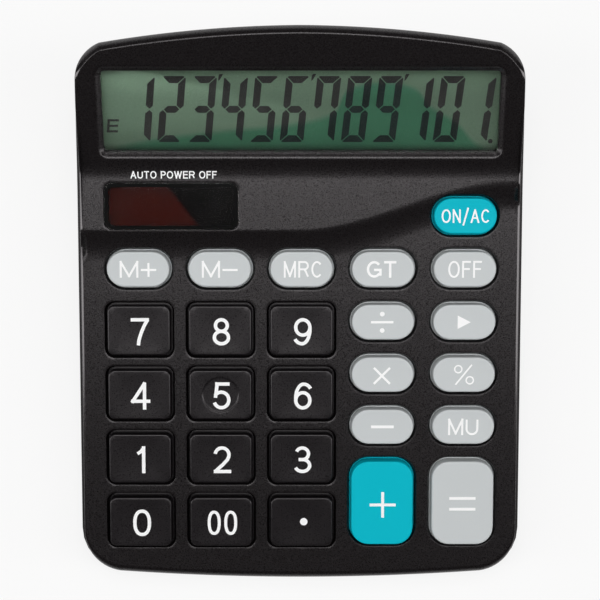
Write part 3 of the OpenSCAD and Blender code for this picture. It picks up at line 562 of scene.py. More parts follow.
def surface_w(u, v):
    """Height of the upper surface above the plane of the key face."""
    low_part = panel_w(u, v)
    hood = RISE + (v - HOLLOW_V) * HOOD_SLOPE
    near = max(HOLLOW - abs(low_part - hood), 0) / HOLLOW
    return max(low_part, hood) + near * near * HOLLOW / 4


def inner_w(u, v):
    """Height of the shell's underside."""
    return max(-SHELL_T, RISE + (v - HOLLOW_V) * HOOD_SLOPE - SHELL_T / cos(tilt - FACE_TILT))


def world_height(height, x, y):
    """World height at a place of the upper surface or of the shell's underside."""
    w = 0.0
    for _ in range(6):
        w = height(x, (y + HALF_L + w * sin(FACE_TILT)) / cos(FACE_TILT))
    v = (y + HALF_L + w * sin(FACE_TILT)) / cos(FACE_TILT)
    return from_face(x, v, w).z


def on_surface(u, v):
    """World place of a point on the upper surface."""
    return from_face(u, v, surface_w(u, v))


# %% [markdown]
# The outline bows out at the front and the rear. All round it the top turns down to the wall in
# a chain of three arcs: nearly flat and then tight along the sides, an even round at the front,
# and a roll at the rear. A moulding's edges are seen first where they catch the light, so the
# chain is worked out at each point of the outline, to end just where the leaning wall starts.

# %% The outline and its edge
REAR_BOW, FRONT_BOW, REAR_CORNER_R, FRONT_CORNER_R = 5.3, 2.6, 10.0, 12.0
RIM_LEDGE = 0.85               # how far the upper shell stands back from the lower one's rim
LEDGE_START, LEDGE_FADE = 2, 24          # it fades from here before the hood, over a length
SIDE_STEP, FINE_STEP = 5.0, 0.9
FINE_BEFORE, FINE_BEHIND = 20, 8         # the finer steps start and end so far from the hood
FOOT_CHAMFER, FOOT_INSET = 0.25, 0.12    # at the parting line


def end_outline(bow, corner_r):
    """(x, y, normal) along the rear end from its right corner to its left one."""
    bow_r = (HALF_W ** 2 + bow ** 2) / (2 * bow)
    corner_y = HALF_L - bow_r + sqrt((bow_r - corner_r) ** 2 - (HALF_W - corner_r) ** 2)
    turn = atan2(corner_y - HALF_L + bow_r, HALF_W - corner_r)
    parts = [(HALF_W - corner_r, corner_y, corner_r, 0, turn, 14),
             (0, HALF_L - bow_r, bow_r, turn, pi - turn, 36),
             (corner_r - HALF_W, corner_y, corner_r, pi - turn, pi, 14)]
    points = []
    for cx, cy, r, start, end, steps in parts:
        for i in range(steps if end < pi else steps + 1):
            angle = blend(start, end, i / steps)
            points.append((cx + r * cos(angle), cy + r * sin(angle), cos(angle), sin(angle)))
    return points


def side_places(low_y, high_y):
    """Places along a side: close together where the top bends, and wider elsewhere."""
    places, y = [], low_y + 2
    while y < high_y - 1:
        places.append(y)
        y += FINE_STEP if HOOD_Y - FINE_BEFORE < y < HOOD_Y + FINE_BEHIND else SIDE_STEP
    return places


rear_end = end_outline(REAR_BOW, REAR_CORNER_R)
front_end = [(-x, -y, -nx, -ny) for x, y, nx, ny in end_outline(FRONT_BOW, FRONT_CORNER_R)]
left = [(-HALF_W, y, -1, 0) for y in reversed(side_places(front_end[0][1], rear_end[-1][1]))]
right = [(HALF_W, y, 1, 0) for y in side_places(front_end[-1][1], rear_end[0][1])]
outline = rear_end + left + front_end + right
print("points round the outline:", len(outline))


def ledge_share(y):
    """1 where the lower shell's rim shows as a ledge, running out to 0 beside the hood."""
    return 1 - ease((y - HOOD_Y + LEDGE_START) / LEDGE_FADE)


def edge_profile(x, y, nx, ny):
    """The edge at one point of the outline, as world points: from the top down through the
    chain of arcs and the wall, and then the inner wall from the bottom up."""
    ledge = RIM_LEDGE * ledge_share(y)
    base = Vector((x - nx * ledge, y - ny * ledge, 0))
    inward = Vector((-nx, -ny, 0))
    foot = FRONT_H + (base.y + HALF_L) * tan(FACE_TILT) - PARTING / cos(FACE_TILT)
    lean = SIDE_LEAN * abs(nx)
    arcs = mixed_arcs(nx, ny)

    def top(d):
        place = base + inward * d
        return world_height(surface_w, place.x, place.y)

    start_d = 2.0
    for _ in range(12):
        slope = atan2(top(start_d + 0.05) - top(start_d - 0.05), 0.1)
        out, down = arc_reach(arcs, slope)
        start_d = out + (top(start_d) - down - foot) * tan(lean)
    d, z = start_d, top(start_d)
    profile = [(d, z)]
    for r, turn in arcs:
        for i in range(1, ARC_STEPS + 1):
            now = blend(slope, turn, i / ARC_STEPS)
            profile.append((d - r * (sin(now) - sin(slope)), z - r * (cos(slope) - cos(now))))
        (d, z), slope = profile[-1], turn
    profile += [(FOOT_CHAMFER * tan(lean), foot + FOOT_CHAMFER), (FOOT_INSET, foot)]
    inner_top = foot + 1
    for _ in range(5):
        inner_d = SHELL_T / cos(lean) + (inner_top - foot) * tan(lean)
        place = base + inward * inner_d
        inner_top = world_height(inner_w, place.x, place.y)
    profile += [(SHELL_T, foot), (inner_d, inner_top)]
    return [base + inward * d + Vector((0, 0, z)) for d, z in profile]


# %% [markdown]
# Each key hole lies in a groove: a tiny fillet, a drop of two fifths of a millimetre and a steep
# ledge down to the hole. The display's recess flares inwards to the lens, and its collar
# carries the lens from below. The solar window drops into a seat with a ledge.

# %% The openings
RIM_W, RIM_FILLET, RIM_DEPTH = 0.9, 0.12, 0.42


def opening_ring(u, v, ring, level, drop):
    """A ring about a place, at one level, or a drop below the surface where there is none."""
    return [from_face(u + a, v + b, surface_w(u + a, v + b) - drop if level is None else level)
            for a, b in ring]


def key_hole(u, v, width, length, r):
    """Loops of one key hole from the surface down to the underside."""
    levels = [(RIM_W + RIM_FILLET, None, 0), (RIM_W + 0.3 * RIM_FILLET, None, 0.3 * RIM_FILLET),
              (RIM_W, None, RIM_FILLET), (RIM_W - 0.06, -RIM_DEPTH, 0),
              (RIM_W - 0.12, -RIM_DEPTH - 0.3, 0), (KEY_GAP + 0.06, -RIM_DEPTH - 0.98, 0),
              (KEY_GAP + 0.02, -RIM_DEPTH - 1.04, 0), (KEY_GAP, -RIM_DEPTH - 1.12, 0),
              (KEY_GAP, -SHELL_T, 0)]
    return [opening_ring(u, v, rounded(width, length, r, growth), level, drop)
            for growth, level, drop in levels]


def on_hood_plane(u, p, depth):
    """A point at a depth below the visible hood, given by its place on the hood's own plane."""
    flat = to_face(from_hood(u, p, 0))
    top = on_surface(flat.x, flat.y)
    return top + Vector((0, sin(HOOD_TILT), -cos(HOOD_TILT))) * depth


low, high = box_mm("display_lens")
LENS_TOP, LENS_REACH, WELL_T = 3.0, 1.1, 1.1
well_w = high.x - low.x - 2 * LENS_REACH
well_start = (low.y - HOOD_Y - LENS_TOP * sin(HOOD_TILT)) / cos(HOOD_TILT) + LENS_REACH
well_end = (high.z - HOOD_Z + LENS_TOP * cos(HOOD_TILT)) / sin(HOOD_TILT) - LENS_REACH
well_l, well_p = well_end - well_start, (well_start + well_end) / 2
print(f"display recess {well_w:.2f} x {well_l:.2f} mm, from {well_start:.2f} mm up the hood")

# The recess is wider than the lens's visible part and lies a little to the right of it.
WELL_WIDER, WELL_SHIFT, WELL_R = 0.9, 0.2, 2.6
WELL_ROUND = 1.2               # radius of the recess's upper edge, which turns down by 42 degrees
# Growth and depth of each level: the rounded edge, the flare and the wall above the lens.
well_levels = [(0.34 - WELL_ROUND * sin(radians(turn)), WELL_ROUND * (1 - cos(radians(turn))))
               for turn in (0, 10, 21, 32, 42)]
well_levels += [(-1.03, 0.83), (-1.28, 0.97), (-1.36, 1.05), (-1.39, 1.15), (-1.41, 2.3)]


def well_ring(growth):
    """The recess's outline on the hood."""
    return [(WELL_SHIFT + a, well_p + b)
            for a, b in rounded(well_w + WELL_WIDER, well_l, WELL_R, growth, 9, 12)]


def display_well():
    """Loops of the recess from the hood down to the lens, and of the collar round it."""
    loops = [[on_hood_plane(a, p, depth) for a, p in well_ring(growth)]
             for growth, depth in well_levels]
    for growth in (well_levels[-1][0], WELL_T):
        loops.append([from_hood(a, p, -LENS_TOP + 0.06) for a, p in well_ring(growth)])
    collar = []
    for a, p in well_ring(WELL_T):
        flat = to_face(from_hood(a, p, -SHELL_T))
        collar.append(from_face(flat.x, flat.y, inner_w(flat.x, flat.y)))
    return loops + [collar]


low, high = box_mm("solar_window")
WINDOW_SINK, WINDOW_T, WINDOW_LEDGE, SEAT_GAP = 0.3, 1.5, 1.1, 0.1
window_w = high.x - low.x + 2 * SEAT_GAP
window_mid_w = RISE - WINDOW_SINK - WINDOW_T / 2
window_u = (low.x + high.x) / 2
window_v = ((low.y + high.y) / 2 + HALF_L + window_mid_w * sin(FACE_TILT)) / cos(FACE_TILT)
window_l = (high.y - low.y - WINDOW_T * sin(FACE_TILT)) / cos(FACE_TILT) + 2 * SEAT_GAP
WINDOW_R = 2.4


def window_ring(growth):
    """The outline of the solar window's opening, with finer corners than a key's."""
    return rounded(window_w, window_l, WINDOW_R, growth, 8, 6)


print(f"solar window {window_w:.2f} x {window_l:.2f} mm at {window_u:.2f}, {window_v:.2f}")


def window_seat():
    """Loops of the window's opening, with the ledge that the window lies on."""
    ledge = RISE - WINDOW_SINK - WINDOW_T - 0.02
    levels = [(0.22, None, 0), (0.08, None, 0.05), (0.0, None, 0.2), (0.0, ledge, 0),
              (-WINDOW_LEDGE, ledge, 0), (-WINDOW_LEDGE, -SHELL_T, 0)]
    return [opening_ring(window_u, window_v, window_ring(growth), level, drop)
            for growth, level, drop in levels]


# %% [markdown]
# The upper shell joins all of these: the edge round the outline, the openings, the skin
# between them that follows the swept band and the hollow, and the underside. The mould's
# texture stops short of the long edges, which are smooth and so catch the light.

# %% The upper shell
# The skin has a row of points at each of these distances before the crest, and at these shares
# of the hollow's reach.
BAND_ROWS = (-1.0, -0.5, -0.25, 0.0, 0.3, 0.7, 1.2, 2.0, 2.8, 3.7, 4.6, 5.5, 6.4, 7.3, 8.2)
HOLLOW_ROWS = (-1.15, -1, -0.75, -0.5, -0.25, 0, 0.25, 0.5, 0.75, 1, 1.15)
BAND_STEP, HOLLOW_STEP = 1.25, 2.0       # from point to point along a row
SUPPORT = 0.45                 # from an opening to the loop that keeps the skin flat round it
SIDE_FACING = 0.8              # the smooth edge runs where the outline faces so far sideways
WARM_GLOSS = (1.0, 0.95, 0.97, 1.0)


def support(loop, distance):
    """A loop just outside an opening, which keeps the skin flat up to its edge."""
    u = sum(p[0] for p in loop) / len(loop)
    v = sum(p[1] for p in loop) / len(loop)
    u0, v0, u1, v1 = box_of(loop)
    ratio_u, ratio_v = 1 + 2 * distance / (u1 - u0), 1 + 2 * distance / (v1 - v0)
    return [(u + (p[0] - u) * ratio_u, v + (p[1] - v) * ratio_v) for p in loop + loop[:1]]


def skin_lines():
    """Rows of points across the swept band and along the hollow."""
    lines = []
    for down in BAND_ROWS:
        lines.append([(u, crest_v(u) - down) for u in (i * BAND_STEP for i in range(-48, 49))])
    reach = HOLLOW / HOOD_SLOPE
    for share in HOLLOW_ROWS:
        lines.append([(u, HOLLOW_V + share * reach)
                      for u in (i * HOLLOW_STEP for i in range(-30, 31))])
    return lines


def upper_shell():
    """The whole moulding, whose first faces are those of the edge, row by row."""
    shell = Moulding()
    profiles = [edge_profile(*point) for point in outline]
    edge = shell.loft([[profile[i] for profile in profiles] for i in range(len(profiles[0]))])
    openings = [shell.loft(key_hole(*key)) for key in keys.values()]
    openings += [shell.loft(display_well()), shell.loft(window_seat())]
    lines = skin_lines()
    for opening in openings:
        lines.append(support([to_face(shell.points[i])[:2] for i in opening[0]], SUPPORT))
    fill(shell, edge[0], [opening[0] for opening in openings], lines, on_surface)
    fill(shell, edge[-1], [opening[-1] for opening in openings], [],
         lambda u, v: from_face(u, v, inner_w(u, v)))
    return shell


# Spark-textured ABS sparkles softly where it faces a lamp, and the smooth band mirrors it.
case_black = moulded_plastic("abs_black_textured", "#110e0f", 0.29, 0.32, 0.012, specular=0.5,
                             sparkle=0.42, tint=WARM_GLOSS)
case_smooth = moulded_plastic("abs_black_smooth", "#110e0f", 0.13, 0.32, 0.002, speckle=0.02,
                              specular=0.9, tint=WARM_GLOSS)
upper = upper_shell().make("upper_shell", [case_black, case_smooth])
for row in range(ARC_STEPS, 2 * ARC_STEPS):          # the rows of the second arc
    for i, (_, _, nx, _) in enumerate(outline):
        if abs(nx) > SIDE_FACING:
            upper.data.polygons[row * len(outline) + i].material_index = 1
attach(upper, "case")
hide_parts("top_cover")
print("upper shell:", len(upper.data.polygons), "faces")

# %% [markdown]
# The key caps stand two millimetres proud of the face. Each has drafted walls, a rounded upper
# edge and a shallow dish for the fingertip, and below the face a flange that stops it, a hollow
# and the stem that presses its rubber dome. The middle number key has a deeper round dish, by
# which the hand finds the keypad's centre.

# %% Key caps
KEY_RISE, KEY_FILLET, KEY_DRAFT, DISH = 2.0, 0.42, 0.12, 0.14
DISH_MARGIN = 1.3              # the dish is smaller than the key by this
KEY_WALL, STEM_R, STEM_END = 1.2, 2.0, 3.9
FILLET_STEPS, TOP_RINGS = 5, 7
FINGER_R, FINGER_EDGE, FINGER_DEPTH = 5.0, 0.4, 0.2  # the round dish of the middle key
FINGER_RINGS = ([FINGER_R + 0.15] + [FINGER_R - FINGER_EDGE * i / 5 for i in range(6)]
                + [4.3, 3.3, 2.2, 1.1])


def key_top(name, a, b):
    """Height of a key's top at a place from its middle."""
    _, _, width, length, r = keys[name]
    across, along = 2 * a / (width - DISH_MARGIN), 2 * b / (length - DISH_MARGIN)
    w = KEY_RISE - DISH * (1 - min(1, across * across)) * (1 - min(1, along * along))
    if name == "key_5":
        w -= FINGER_DEPTH * ease((FINGER_R - sqrt(a * a + b * b)) / FINGER_EDGE)
    return w


def on_circle(ring, r):
    """The points of a ring moved straight in or out to a circle."""
    return [(r * cos(atan2(b, a)), r * sin(atan2(b, a))) for a, b in ring]


def key_cap(name):
    """One key: flange, walls, fillet and dished top, and inside it a hollow and the stem."""
    u, v, width, length, r = keys[name]

    def ring(growth, w):
        return [from_face(u + a, v + b, w) for a, b in rounded(width, length, r, growth)]

    loops = [ring(KEY_REACH, -FLANGE_BOTTOM), ring(KEY_REACH, -FLANGE_TOP), ring(0, -FLANGE_TOP),
             ring(0, -0.4), ring(-KEY_DRAFT, KEY_RISE - KEY_FILLET)]
    for i in range(1, FILLET_STEPS + 1):
        angle = pi / 2 * i / FILLET_STEPS
        loops.append(ring(-KEY_DRAFT - KEY_FILLET * (1 - cos(angle)),
                          KEY_RISE - KEY_FILLET * (1 - sin(angle))))
    outer = rounded(width, length, r, -KEY_DRAFT - KEY_FILLET)
    inner = [[(a * share, b * share) for a, b in outer]
             for share in (1 - i / TOP_RINGS for i in range(1, TOP_RINGS))]
    if name == "key_5":
        inner = [inner[0]] + [on_circle(outer, finger_r) for finger_r in FINGER_RINGS]
    loops += [[from_face(u + a, v + b, key_top(name, a, b)) for a, b in ring] for ring in inner]
    cap = Moulding()
    numbers = cap.loft(loops)
    cap.cap(numbers[-1])
    stem = on_circle(outer, STEM_R)
    below = cap.loft([ring(-KEY_WALL, -FLANGE_BOTTOM), ring(-KEY_WALL, KEY_RISE - KEY_WALL),
                      [from_face(u + a, v + b, KEY_RISE - KEY_WALL) for a, b in stem],
                      [from_face(u + a, v + b, -STEM_END) for a, b in stem]])
    cap.bridge(numbers[0], below[0])
    cap.cap(below[-1])
    return cap


record_slots = {part["node"]: part["material_slot"] for part in frame["record"]["subparts"]}
# The black caps are satin and mirror a little of the lamps. The grey and the teal ones are
# duller, so their colour looks even.
key_black = moulded_plastic("abs_black_satin", "#110e10", 0.3, 0.32, 0.005, specular=0.48,
                            sparkle=0.2, tint=WARM_GLOSS)
key_grey = moulded_plastic("abs_grey_satin", "#c9cdce", 0.48, 0.5, 0.004, mottle=0.006,
                           specular=0.3)
key_teal = moulded_plastic("abs_teal_satin", "#00bacc", 0.5, 0.5, 0.004, mottle=0.006,
                           specular=0.1)
key_plastics = {"key_black": key_black, "key_grey": key_grey, "key_teal": key_teal}
for name in keys:
    colour = record_slots[name]
    cap = key_cap(name).make(name.replace("key_", "cap_"), [key_plastics[colour]])
    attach(cap, name)
    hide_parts(name)
print("key caps:", len(keys))

# %% [markdown]
# The legends are printed: a film of white ink on the plastic. Each character is drawn with
# strokes of one width, as on the real keys, from lines and arcs in a box one unit high. A
# triangulation joins the strokes of a legend to one flat figure, which is then laid over the
# dished key top a few hundredths of a millimetre thick.

# %% Characters made of strokes
INK = 0.03                     # how far the ink stands above the plastic
LETTER_GAP = 0.14              # between two letters, in letter heights
MITRE_LEAST = 0.5              # keeps the outer corner of a sharp turn from running away


def bow(cu, cv, ru, rv, start, end, steps=16):
    """Points of an elliptic arc, with its angles in degrees."""
    return [(cu + ru * cos(radians(blend(start, end, i / steps))),
             cv + rv * sin(radians(blend(start, end, i / steps)))) for i in range(steps + 1)]


def oval_ring(cu, cv, ru, rv, fullness=2.0, steps=36):
    """A closed oval; a fullness above 2 makes it squarer than an ellipse."""
    points = []
    for i in range(steps):
        c, s = cos(2 * pi * i / steps), sin(2 * pi * i / steps)
        points.append((cu + ru * (abs(c) ** (2 / fullness)) * (1 if c > 0 else -1),
                       cv + rv * (abs(s) ** (2 / fullness)) * (1 if s > 0 else -1)))
    return points + points[:1]


SIX = [oval_ring(0.5, 0.32, 0.48, 0.32), bow(0.56, 0.62, 0.54, 0.38, 30, 100, 8)
       + bow(0.56, 0.40, 0.54, 0.60, 100, 186)[1:]]
# Each character: its width in heights, and its strokes. Places run from 0 to 1 across it.
CHARACTERS = {
    "0": (0.66, [oval_ring(0.5, 0.5, 0.5, 0.5, 2.3)]),
    "1": (0.50, [[(0.72, 0), (0.72, 1)], [(0.72, 1), (0.5, 0.86), (0.12, 0.75)]]),
    "2": (0.66, [bow(0.5, 0.71, 0.47, 0.29, 172, -20)
                 + [(0.86, 0.5), (0.55, 0.29), (0.2, 0.1), (0.04, 0)], [(0.04, 0), (1, 0)]]),
    "3": (0.66, [bow(0.47, 0.75, 0.42, 0.25, 158, -90), bow(0.47, 0.255, 0.5, 0.255, 90, -158),
                 [(0.33, 0.505), (0.5, 0.505)]]),
    "4": (0.70, [[(0.74, 0), (0.74, 1)], [(0.72, 1), (0.0, 0.28)], [(0.0, 0.28), (1, 0.28)]]),
    "5": (0.66, [[(0.17, 1), (0.92, 1)], [(0.19, 1), (0.08, 0.49)],
                 bow(0.47, 0.33, 0.51, 0.33, 148, -160)]),
    "6": (0.66, SIX),
    "7": (0.66, [[(0, 1), (1, 1)],
                 [(1, 0.98), (0.78, 0.74), (0.58, 0.45), (0.43, 0.16), (0.38, -0.07)]]),
    "8": (0.66, [oval_ring(0.5, 0.76, 0.40, 0.24), oval_ring(0.5, 0.26, 0.48, 0.26)]),
    "9": (0.66, [[(1 - a, 1 - b) for a, b in stroke] for stroke in SIX]),
    "A": (0.86, [[(0, 0), (0.5, 1)], [(0.5, 1), (1, 0)], [(0.2, 0.34), (0.8, 0.34)]]),
    "C": (0.84, [bow(0.54, 0.5, 0.54, 0.5, 42, 318, 28)]),
    "E": (0.72, [[(0, 0), (0, 1)], [(0, 1), (1, 1)], [(0, 0.53), (0.92, 0.53)], [(0, 0), (1, 0)]]),
    "F": (0.68, [[(0, 0), (0, 1)], [(0, 1), (1, 1)], [(0, 0.52), (0.86, 0.52)]]),
    "G": (0.92, [bow(0.5, 0.5, 0.5, 0.5, 40, 325, 28), [(0.58, 0.46), (1, 0.46)],
                 [(1, 0.46), (1, 0.14)]]),
    "M": (0.98, [[(0, 0), (0, 1)], [(0, 1), (0.5, 0.04)], [(0.5, 0.04), (1, 1)], [(1, 1), (1, 0)]]),
    "N": (0.80, [[(0, 0), (0, 1)], [(0, 1), (1, 0)], [(1, 0), (1, 1)]]),
    "O": (0.92, [oval_ring(0.5, 0.5, 0.5, 0.5, 2.1)]),
    "P": (0.74, [[(0, 0), (0, 1)], [(0, 1), (0.6, 1)], bow(0.6, 0.74, 0.4, 0.26, 90, -90),
                 [(0, 0.48), (0.6, 0.48)]]),
    "R": (0.86, [[(0, 0), (0, 1)], [(0, 1), (0.6, 1)], bow(0.6, 0.75, 0.38, 0.25, 90, -90),
                 [(0, 0.5), (0.6, 0.5)], [(0.55, 0.5), (0.74, 0.36), (0.88, 0.15), (1, 0)]]),
    "T": (0.76, [[(0, 1), (1, 1)], [(0.5, 1), (0.5, 0)]]),
    "U": (0.82, [[(0, 1)] + bow(0.5, 0.36, 0.5, 0.36, 180, 360, 20) + [(1, 1)]]),
    "W": (1.15, [[(0, 1), (0.25, 0)], [(0.25, 0), (0.5, 1)], [(0.5, 1), (0.75, 0)],
                 [(0.75, 0), (1, 1)]]),
    "+": (0.82, [[(0, 0.46), (1, 0.46)], [(0.5, 0.06), (0.5, 0.86)]]),
    "-": (0.82, [[(0, 0.46), (1, 0.46)]]),
    "/": (0.60, [[(0, -0.22), (1, 1.14)]]),
    " ": (0.30, []),
}


def unit(du, dv):
    """A direction of length 1."""
    size = sqrt(du * du + dv * dv)
    return du / size, dv / size


def ribbon(points, stroke):
    """The quads that cover a line drawn with a pen of one width. Straight lines get square
    ends, and closed rings join up."""
    half = stroke / 2
    (first_u, first_v), (last_u, last_v) = points[0], points[-1]
    closed = len(points) > 3 and abs(first_u - last_u) + abs(first_v - last_v) < 1e-6
    if closed:
        points = points[:-1]
    elif len(points) == 2:
        du, dv = unit(last_u - first_u, last_v - first_v)
        points = [(first_u - du * half, first_v - dv * half),
                  (last_u + du * half, last_v + dv * half)]
    count = len(points)
    sides = []
    for i, point in enumerate(points):
        before = points[i - 1] if i or closed else None
        after = points[(i + 1) % count] if i < count - 1 or closed else None
        into = unit(point[0] - before[0], point[1] - before[1]) if before else None
        out = unit(after[0] - point[0], after[1] - point[1]) if after else None
        into, out = into or out, out or into
        mu, mv = unit(into[0] + out[0], into[1] + out[1])
        reach = half / max(MITRE_LEAST, mu * into[0] + mv * into[1])
        sides.append(((point[0] - mv * reach, point[1] + mu * reach),
                      (point[0] + mv * reach, point[1] - mu * reach)))
    pairs = list(zip(sides, sides[1:] + (sides[:1] if closed else [])))
    return [(a[0], b[0], b[1], a[1]) for a, b in pairs]


def text_quads(text, height, width, stroke):
    """The strokes of a line of text about (0, 0), drawn to a full width."""
    gap = height * LETTER_GAP
    inner = height - stroke
    natural = [CHARACTERS[c][0] * height - stroke for c in text]
    spare = width - len(text) * stroke - (len(text) - 1) * gap
    scale = spare / sum(natural)
    quads, at = [], -width / 2
    for c, size in zip(text, natural):
        size *= scale
        for line in CHARACTERS[c][1]:
            placed = [(at + stroke / 2 + a * size, -height / 2 + stroke / 2 + b * inner)
                      for a, b in line]
            quads += ribbon(placed, stroke)
        at += size + stroke + gap
    return quads


def disc(cu, cv, r, steps=20):
    """A filled dot, as a list of one polygon."""
    return [[(cu + r * cos(2 * pi * i / steps), cv + r * sin(2 * pi * i / steps))
             for i in range(steps)]]


def print_figure(name, figures, place, material, body, thickness=INK):
    """Joins overlapping polygons to one figure and lays it on a surface. place(a, b, lift)
    gives the world position of a point of the figure."""
    coords, edges = [], []
    for polygon in figures:
        first, count = len(coords), len(polygon)
        coords += [Vector(p) for p in polygon]
        edges += [(first + i, first + (i + 1) % count) for i in range(count)]
    flat, _, faces, _, _, _ = delaunay_2d_cdt(coords, edges, [], 0, 1e-4, False)
    boxes = [box_of(polygon) for polygon in figures]
    kept = []
    for face in faces:
        a, b = (sum(flat[i][k] for i in face) / len(face) for k in (0, 1))
        if any(low_a <= a <= high_a and low_b <= b <= high_b
               and in_loop((a, b), list(polygon))
               for polygon, (low_a, low_b, high_a, high_b) in zip(figures, boxes)):
            kept.append(face)
    used = sorted({i for face in kept for i in face})
    order = {old: new for new, old in enumerate(used)}
    ink = Moulding()
    top = ink.loop([place(flat[i][0], flat[i][1], thickness) for i in used])
    bottom = ink.loop([place(flat[i][0], flat[i][1], -thickness) for i in used])
    sides = {}
    for face in kept:
        numbers = [order[i] for i in face]
        ink.faces.append(tuple(top[i] for i in numbers))
        ink.faces.append(tuple(bottom[i] for i in reversed(numbers)))
        for i, j in zip(numbers, numbers[1:] + numbers[:1]):
            sides[(i, j)] = (j, i) not in sides and (i, j) not in sides
            if (j, i) in sides:
                sides[(i, j)] = sides[(j, i)] = False
    for (i, j), single in sides.items():
        if single:
            ink.faces.append((top[j], top[i], bottom[i], bottom[j]))
    piece = ink.make(name, [material], 30)
    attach(piece, body)
    return piece


print("characters:", len(CHARACTERS))

# %% [markdown]
# The legends are pad printed: a soft pad lifts the ink from an etched plate and presses it on
# the key, so it lands a few tenths of a millimetre off the middle. A text is given by its
# height, its full width and the width of its stroke, and a sign by the bars it is made of.

# %% Legends on the keys
legend_ink = moulded_plastic("pad_printing_ink_white", "#fdfdfd", 0.5, 0.3, 0.002, mottle=0.003)
DIGIT_H, DIGIT_STROKE = 7.35, 0.92


def bars(*boxes):
    """Upright rectangles, each given by its middle and its size."""
    return [[(a - w / 2, b - h / 2), (a + w / 2, b - h / 2),
             (a + w / 2, b + h / 2), (a - w / 2, b + h / 2)] for a, b, w, h in boxes]


legends = {f"key_{digit}": text_quads(digit, DIGIT_H, CHARACTERS[digit][0] * DIGIT_H, DIGIT_STROKE)
           for digit in "0123456789"}
legends["key_00"] = text_quads("00", 6.7, 8.0, 0.82)
legends["key_point"] = disc(0, 0, 1.02)
legends["key_memory_plus"] = text_quads("M+", 4.5, 9.7, 0.56)
legends["key_memory_minus"] = text_quads("M-", 4.5, 9.5, 0.56)
legends["key_memory_recall"] = text_quads("MRC", 4.4, 10.1, 0.5)
legends["key_grand_total"] = text_quads("GT", 4.45, 7.85, 0.66)
legends["key_off"] = text_quads("OFF", 4.5, 8.9, 0.5)
legends["key_mark_up"] = text_quads("MU", 4.5, 8.1, 0.54)
legends["key_on_clear"] = text_quads("ON/AC", 3.6, 12.7, 0.44)
legends["key_plus"] = bars((0, 0, 7.05, 0.76), (0, 0, 0.76, 7.05))
legends["key_equals"] = bars((0, 1.48, 7.1, 0.76), (0, -1.48, 7.1, 0.76))
legends["key_minus"] = bars((0, 0, 6.1, 0.76))
legends["key_divide"] = bars((0, 0, 6.0, 0.62)) + disc(0, 2.2, 0.64) + disc(0, -2.2, 0.64)
legends["key_multiply"] = (ribbon([(-1.95, -1.95), (1.95, 1.95)], 0.6)
                           + ribbon([(-1.95, 1.95), (1.95, -1.95)], 0.6))
legends["key_arrow"] = [[(-1.6, -1.8), (1.9, 0), (-1.6, 1.8)]]
legends["key_percent"] = (ribbon(oval_ring(-1.5, 1.5, 0.97, 0.97, 2, 24), 0.38)
                          + ribbon(oval_ring(1.6, -1.5, 0.97, 0.97, 2, 24), 0.38)
                          + ribbon([(-2.1, -2.55), (2.0, 2.55)], 0.42))
DIGIT_OFF_CENTRE = (0.35, -0.3)
off_centre = {"key_point": (0.6, 0), "key_grand_total": (-0.45, 0), "key_memory_recall": (0.35, 0),
              "key_plus": (0.2, -0.5), "key_multiply": (-0.2, -0.3), "key_divide": (-0.2, 0),
              "key_arrow": (-0.2, 0), "key_equals": (0, -0.2)}
for name, figures in legends.items():
    u, v = keys[name][:2]
    du, dv = off_centre.get(name, DIGIT_OFF_CENTRE if name[4:].isdigit() else (0, 0))
    print_figure(name.replace("key_", "legend_"), figures,
                 lambda a, b, lift: from_face(u + a + du, v + b + dv,
                                              key_top(name, a + du, b + dv) + lift),
                 legend_ink, name)
print("legends:", len(legends))

# %% [markdown]
# The display is a reflective liquid crystal cell: two panes of thin glass with polarising film
# on both sides, and a matt foil behind. It looks green-grey. A paler reflection over its upper
# part and its two ends is painted into its colour, and below the curve where that painted
# reflection ends it is a deeper green. Painted shade darkens its lower edge and painted light
# lifts its top. The panes and the film before the crystal are nearly clear, and the colour sits
# on the rear pane.

# %% Clear and tinted layers
def clear_plastic(name, colour, roughness):
    """Cast acrylic: clear, with a smooth gloss, refracting like glass but a little less."""
    material = empty_material(name)
    where = add_node(material, "ShaderNodeTexCoord").outputs["Object"]
    waves = add_node(material, "ShaderNodeTexNoise", {"Scale": 1 / (14 * MM), "Detail": 1.0},
                     Vector=where)
    gloss = add_node(material, "ShaderNodeMapRange",
                     {**MOST_NOISE, "To Min": roughness, "To Max": roughness * 2},
                     Value=waves.outputs["Fac"])
    surface = add_node(material, "ShaderNodeBsdfPrincipled",
                       {"Base Color": linear(colour), "IOR": 1.49, "Transmission Weight": 1.0,
                        "Specular IOR Level": 0.1},
                       Roughness=gloss.outputs[0])
    add_node(material, "ShaderNodeOutputMaterial", None, Surface=surface.outputs[0])
    return material


def thin_layer(name, colour, alpha):
    """A film or pane so thin that it only veils what lies behind it."""
    material = empty_material(name)
    where = add_node(material, "ShaderNodeTexCoord").outputs["Object"]
    haze = add_node(material, "ShaderNodeTexNoise", {"Scale": 1 / (0.4 * MM), "Detail": 2.0},
                    Vector=where)
    veil = add_node(material, "ShaderNodeMapRange",
                    {**ALL_NOISE, "To Min": alpha * 0.8, "To Max": alpha * 1.2},
                    Value=haze.outputs["Fac"])
    surface = add_node(material, "ShaderNodeBsdfPrincipled",
                       {"Base Color": linear(colour), "IOR": 1.5, "Roughness": 0.3},
                       Alpha=veil.outputs[0])
    add_node(material, "ShaderNodeOutputMaterial", None, Surface=surface.outputs[0])
    return material


CRYSTAL_DEPTH = 5.05           # depth of the crystal's plane below the hood
VIEW_LEFT, VIEW_FOOT, VIEW_W, VIEW_L = -53.0, 6.6, 106.0, 21.5       # what shows of the cell
